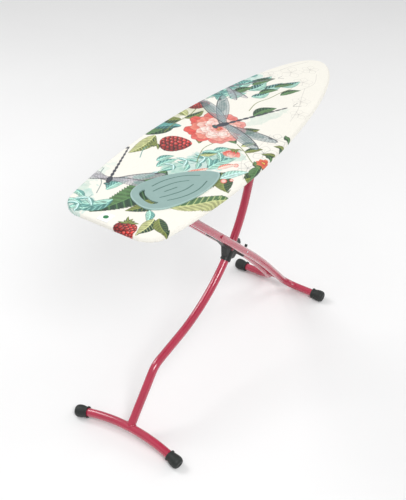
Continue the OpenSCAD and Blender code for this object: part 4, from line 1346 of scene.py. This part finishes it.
def add_cap(name, mouth, axis, tube_r, body, node):
    sides = 72
    axis = np.asarray(axis, float)
    axis /= np.linalg.norm(axis)
    across = np.cross(axis, (0, 0, 1))
    across /= np.linalg.norm(across)
    up = np.cross(across, axis)
    a = np.linspace(0, 2 * math.pi, sides, endpoint=False)
    circle = np.cos(a)[:, None] * across + np.sin(a)[:, None] * up
    profile = cap_profile(tube_r)
    points = np.concatenate([mouth + axis * d + circle * r for r, d in profile])
    low = points[:, 2] < 1.2
    points[low, 2] = np.maximum(points[low, 2] * 0.5, 0) * (points[low, 2] > 0)
    faces = ring_faces(len(profile), sides).tolist()
    faces.append([(len(profile) - 1) * sides + k for k in range(sides)])
    piece = add_piece(name, points * MM, faces, "rubber", body)
    fix_normals(piece)
    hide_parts(node)


def add_caps():
    centre = FOOT_A - ARC_R * heading(FOOT_ANGLE)
    for side, word in ((-1, "near"), (1, "far")):
        a = math.radians(side * ARC_ANGLE)
        place = centre + ARC_R * (math.cos(a) * heading(FOOT_ANGLE) + math.sin(a) * Y_AXIS)
        along = side * (-math.sin(a) * heading(FOOT_ANGLE) + math.cos(a) * Y_AXIS)
        add_cap("rubber_cap_a_" + word, place - along * CAP_LENGTH / 2, along, LEG_A_R + 0.7,
                "leg_a", "foot_a_cap_" + word)
        place = np.array([FOOT_B_X, side * (FOOT_B_HALF - CAP_LENGTH / 2), CAP_AXIS])
        add_cap("rubber_cap_b_" + word, place, side * Y_AXIS, LEG_B_R, "leg_b",
                "foot_b_cap_" + word)


# ---------- hard parts with eased edges, and the spring ----------


def ease(node, name, finish, width):
    """A copy of a CAD node with its sharp edges rounded, which stands for it."""
    body = nodes[node]["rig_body"]
    work = bmesh.new()
    work.from_mesh(nodes[node].data)
    bmesh.ops.remove_doubles(work, verts=work.verts, dist=2e-6)
    bmesh.ops.dissolve_limit(work, angle_limit=math.radians(0.6), verts=work.verts,
                             edges=work.edges)
    mesh = bpy.data.meshes.new(name)
    work.to_mesh(mesh)
    work.free()
    mesh.shade_smooth()
    mesh.materials.clear()
    mesh.materials.append(FINISH[finish])
    piece = bpy.data.objects.new(name, mesh)
    scene.collection.objects.link(piece)
    soften = piece.modifiers.new("bevel", "BEVEL")
    soften.width = width * MM
    soften.segments = 2
    soften.angle_limit = math.radians(32)
    soften.harden_normals = False
    weigh = piece.modifiers.new("normals", "WEIGHTED_NORMAL")
    weigh.keep_sharp = True
    apply_modifiers(piece)
    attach(piece, body)
    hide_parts(node)
    return piece


def add_hard_parts():
    for node, finish, slot, width in (
        ("rim_frame", "board_steel", "board_steel", 0.4),
        ("cross_member_heel", "board_steel", "board_steel", 0.5),
        ("cross_member_middle", "board_steel", "board_steel", 0.5),
        ("cross_member_slide", "board_steel", "board_steel", 0.5),
        ("cross_member_nose", "board_steel", "board_steel", 0.5),
        ("rail_near", "zinc", "zinc", 0.4), ("rail_far", "zinc", "zinc", 0.4),
        ("rail_stops", "rubber", "black_rubber", 0.8),
        ("pivot_bracket_near", "zinc", "zinc", 0.5), ("pivot_bracket_far", "zinc", "zinc", 0.5),
        ("release_hanger_heel", "zinc", "zinc", 0.4), ("release_hanger_nose", "zinc", "zinc", 0.4),
        ("leg_b_bush_near", "plastic", "black_plastic", 0.5),
        ("leg_b_bush_far", "plastic", "black_plastic", 0.5),
        ("pivot_nut", "zinc", "zinc", 0.5), ("pivot_bolt", "lacquer", "red_lacquer", 0.7),
        ("crossing_bracket", "plastic", "black_plastic", 1.0),
        ("fold_catch", "plastic", "black_plastic", 0.8),
        ("slide_shoe_near", "plastic", "black_plastic", 0.8),
        ("slide_shoe_far", "plastic", "black_plastic", 0.8),
        ("release_bar", "zinc", "zinc", 0.3), ("lever_grip", "plastic", "black_plastic", 1.2),
        ("leg_b_axle", "zinc", "zinc", 0.6), ("leg_a_top_tube", "lacquer", "red_lacquer", 0.4),
        ("foot_b_bridge", "lacquer", "red_lacquer", 0.3),
        ("leg_b_rivets", "zinc", "zinc", 0.3), ("pivot_washers", "zinc", "zinc", 0.3),
        ("slide_axle", "zinc", "zinc", 0.5),
    ):
        ease(node, node + "_eased", finish, width)


def add_spring():
    low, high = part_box("return_spring")
    turns, steps = 9, 22
    wire = 0.85
    centre = [(low[k] + high[k]) / 2 / MM for k in (1, 2)]
    mean = (high[1] - low[1]) / 2 / MM - wire - 0.05
    start, length = low[0] / MM + wire + 0.1, (high[0] - low[0]) / MM - 2 * wire - 0.2
    path = []
    for k in range(turns * steps + 1):
        t = k / (turns * steps)
        a = 2 * math.pi * turns * t
        pressed = t - 0.035 * math.sin(2 * math.pi * t)
        path.append((start + length * pressed, centre[0] + mean * math.cos(a),
                     centre[1] + mean * math.sin(a)))
    rings = sweep(path, [wire] * len(path), 12)
    piece = add_piece("coiled_return_spring", rings * MM, ring_faces(len(path), 12), "spring",
                      "board")
    fix_normals(piece)
    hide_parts("return_spring")


# ---------- the scene ----------


def add_stage():
    mesh = bpy.data.meshes.new("floor")
    half = 14
    mesh.from_pydata([(-half, -half, 0), (half, -half, 0), (half, half, 0), (-half, half, 0)], [],
                     [(0, 1, 2, 3)])
    mesh.materials.append(floor_paint())
    floor = bpy.data.objects.new("floor", mesh)
    floor.location.z = -0.0005
    scene.collection.objects.link(floor)
    world = bpy.data.worlds.new("studio")
    world.use_nodes = True
    tree = world.node_tree
    coordinates = tree.nodes.new("ShaderNodeTexCoord")
    split = tree.nodes.new("ShaderNodeSeparateXYZ")
    ramp = tree.nodes.new("ShaderNodeValToRGB")
    tree.links.new(coordinates.outputs["Generated"], split.inputs[0])
    tree.links.new(split.outputs["Z"], ramp.inputs["Fac"])
    tree.links.new(ramp.outputs["Color"], tree.nodes["Background"].inputs["Color"])
    low, high = ramp.color_ramp.elements
    low.position, low.color = 0.0, (0.46, 0.46, 0.46, 1)
    high.position, high.color = 0.75, (0.78, 0.78, 0.78, 1)
    tree.nodes["Background"].inputs["Strength"].default_value = 0.8
    scene.world = world
    add_light("key", (-2.6, -2.8, 4.2), (0, 0, 0.6), 2.2, 130)
    add_light("fill", (3.2, -1.8, 2.6), (0, 0, 0.5), 2.0, 28)
    add_light("back", (-0.5, 3.2, 3.4), (0, 0, 0.6), 2.0, 60)


add_camera()
add_stage()
cover, cover_area = add_cover()
stitches = add_hem_stitches()
add_foam()
add_mesh_top()
add_iron_rest()
add_label()
add_legs()
add_caps()
add_hard_parts()
add_spring()

print("cover area", round(cover_area, 4))
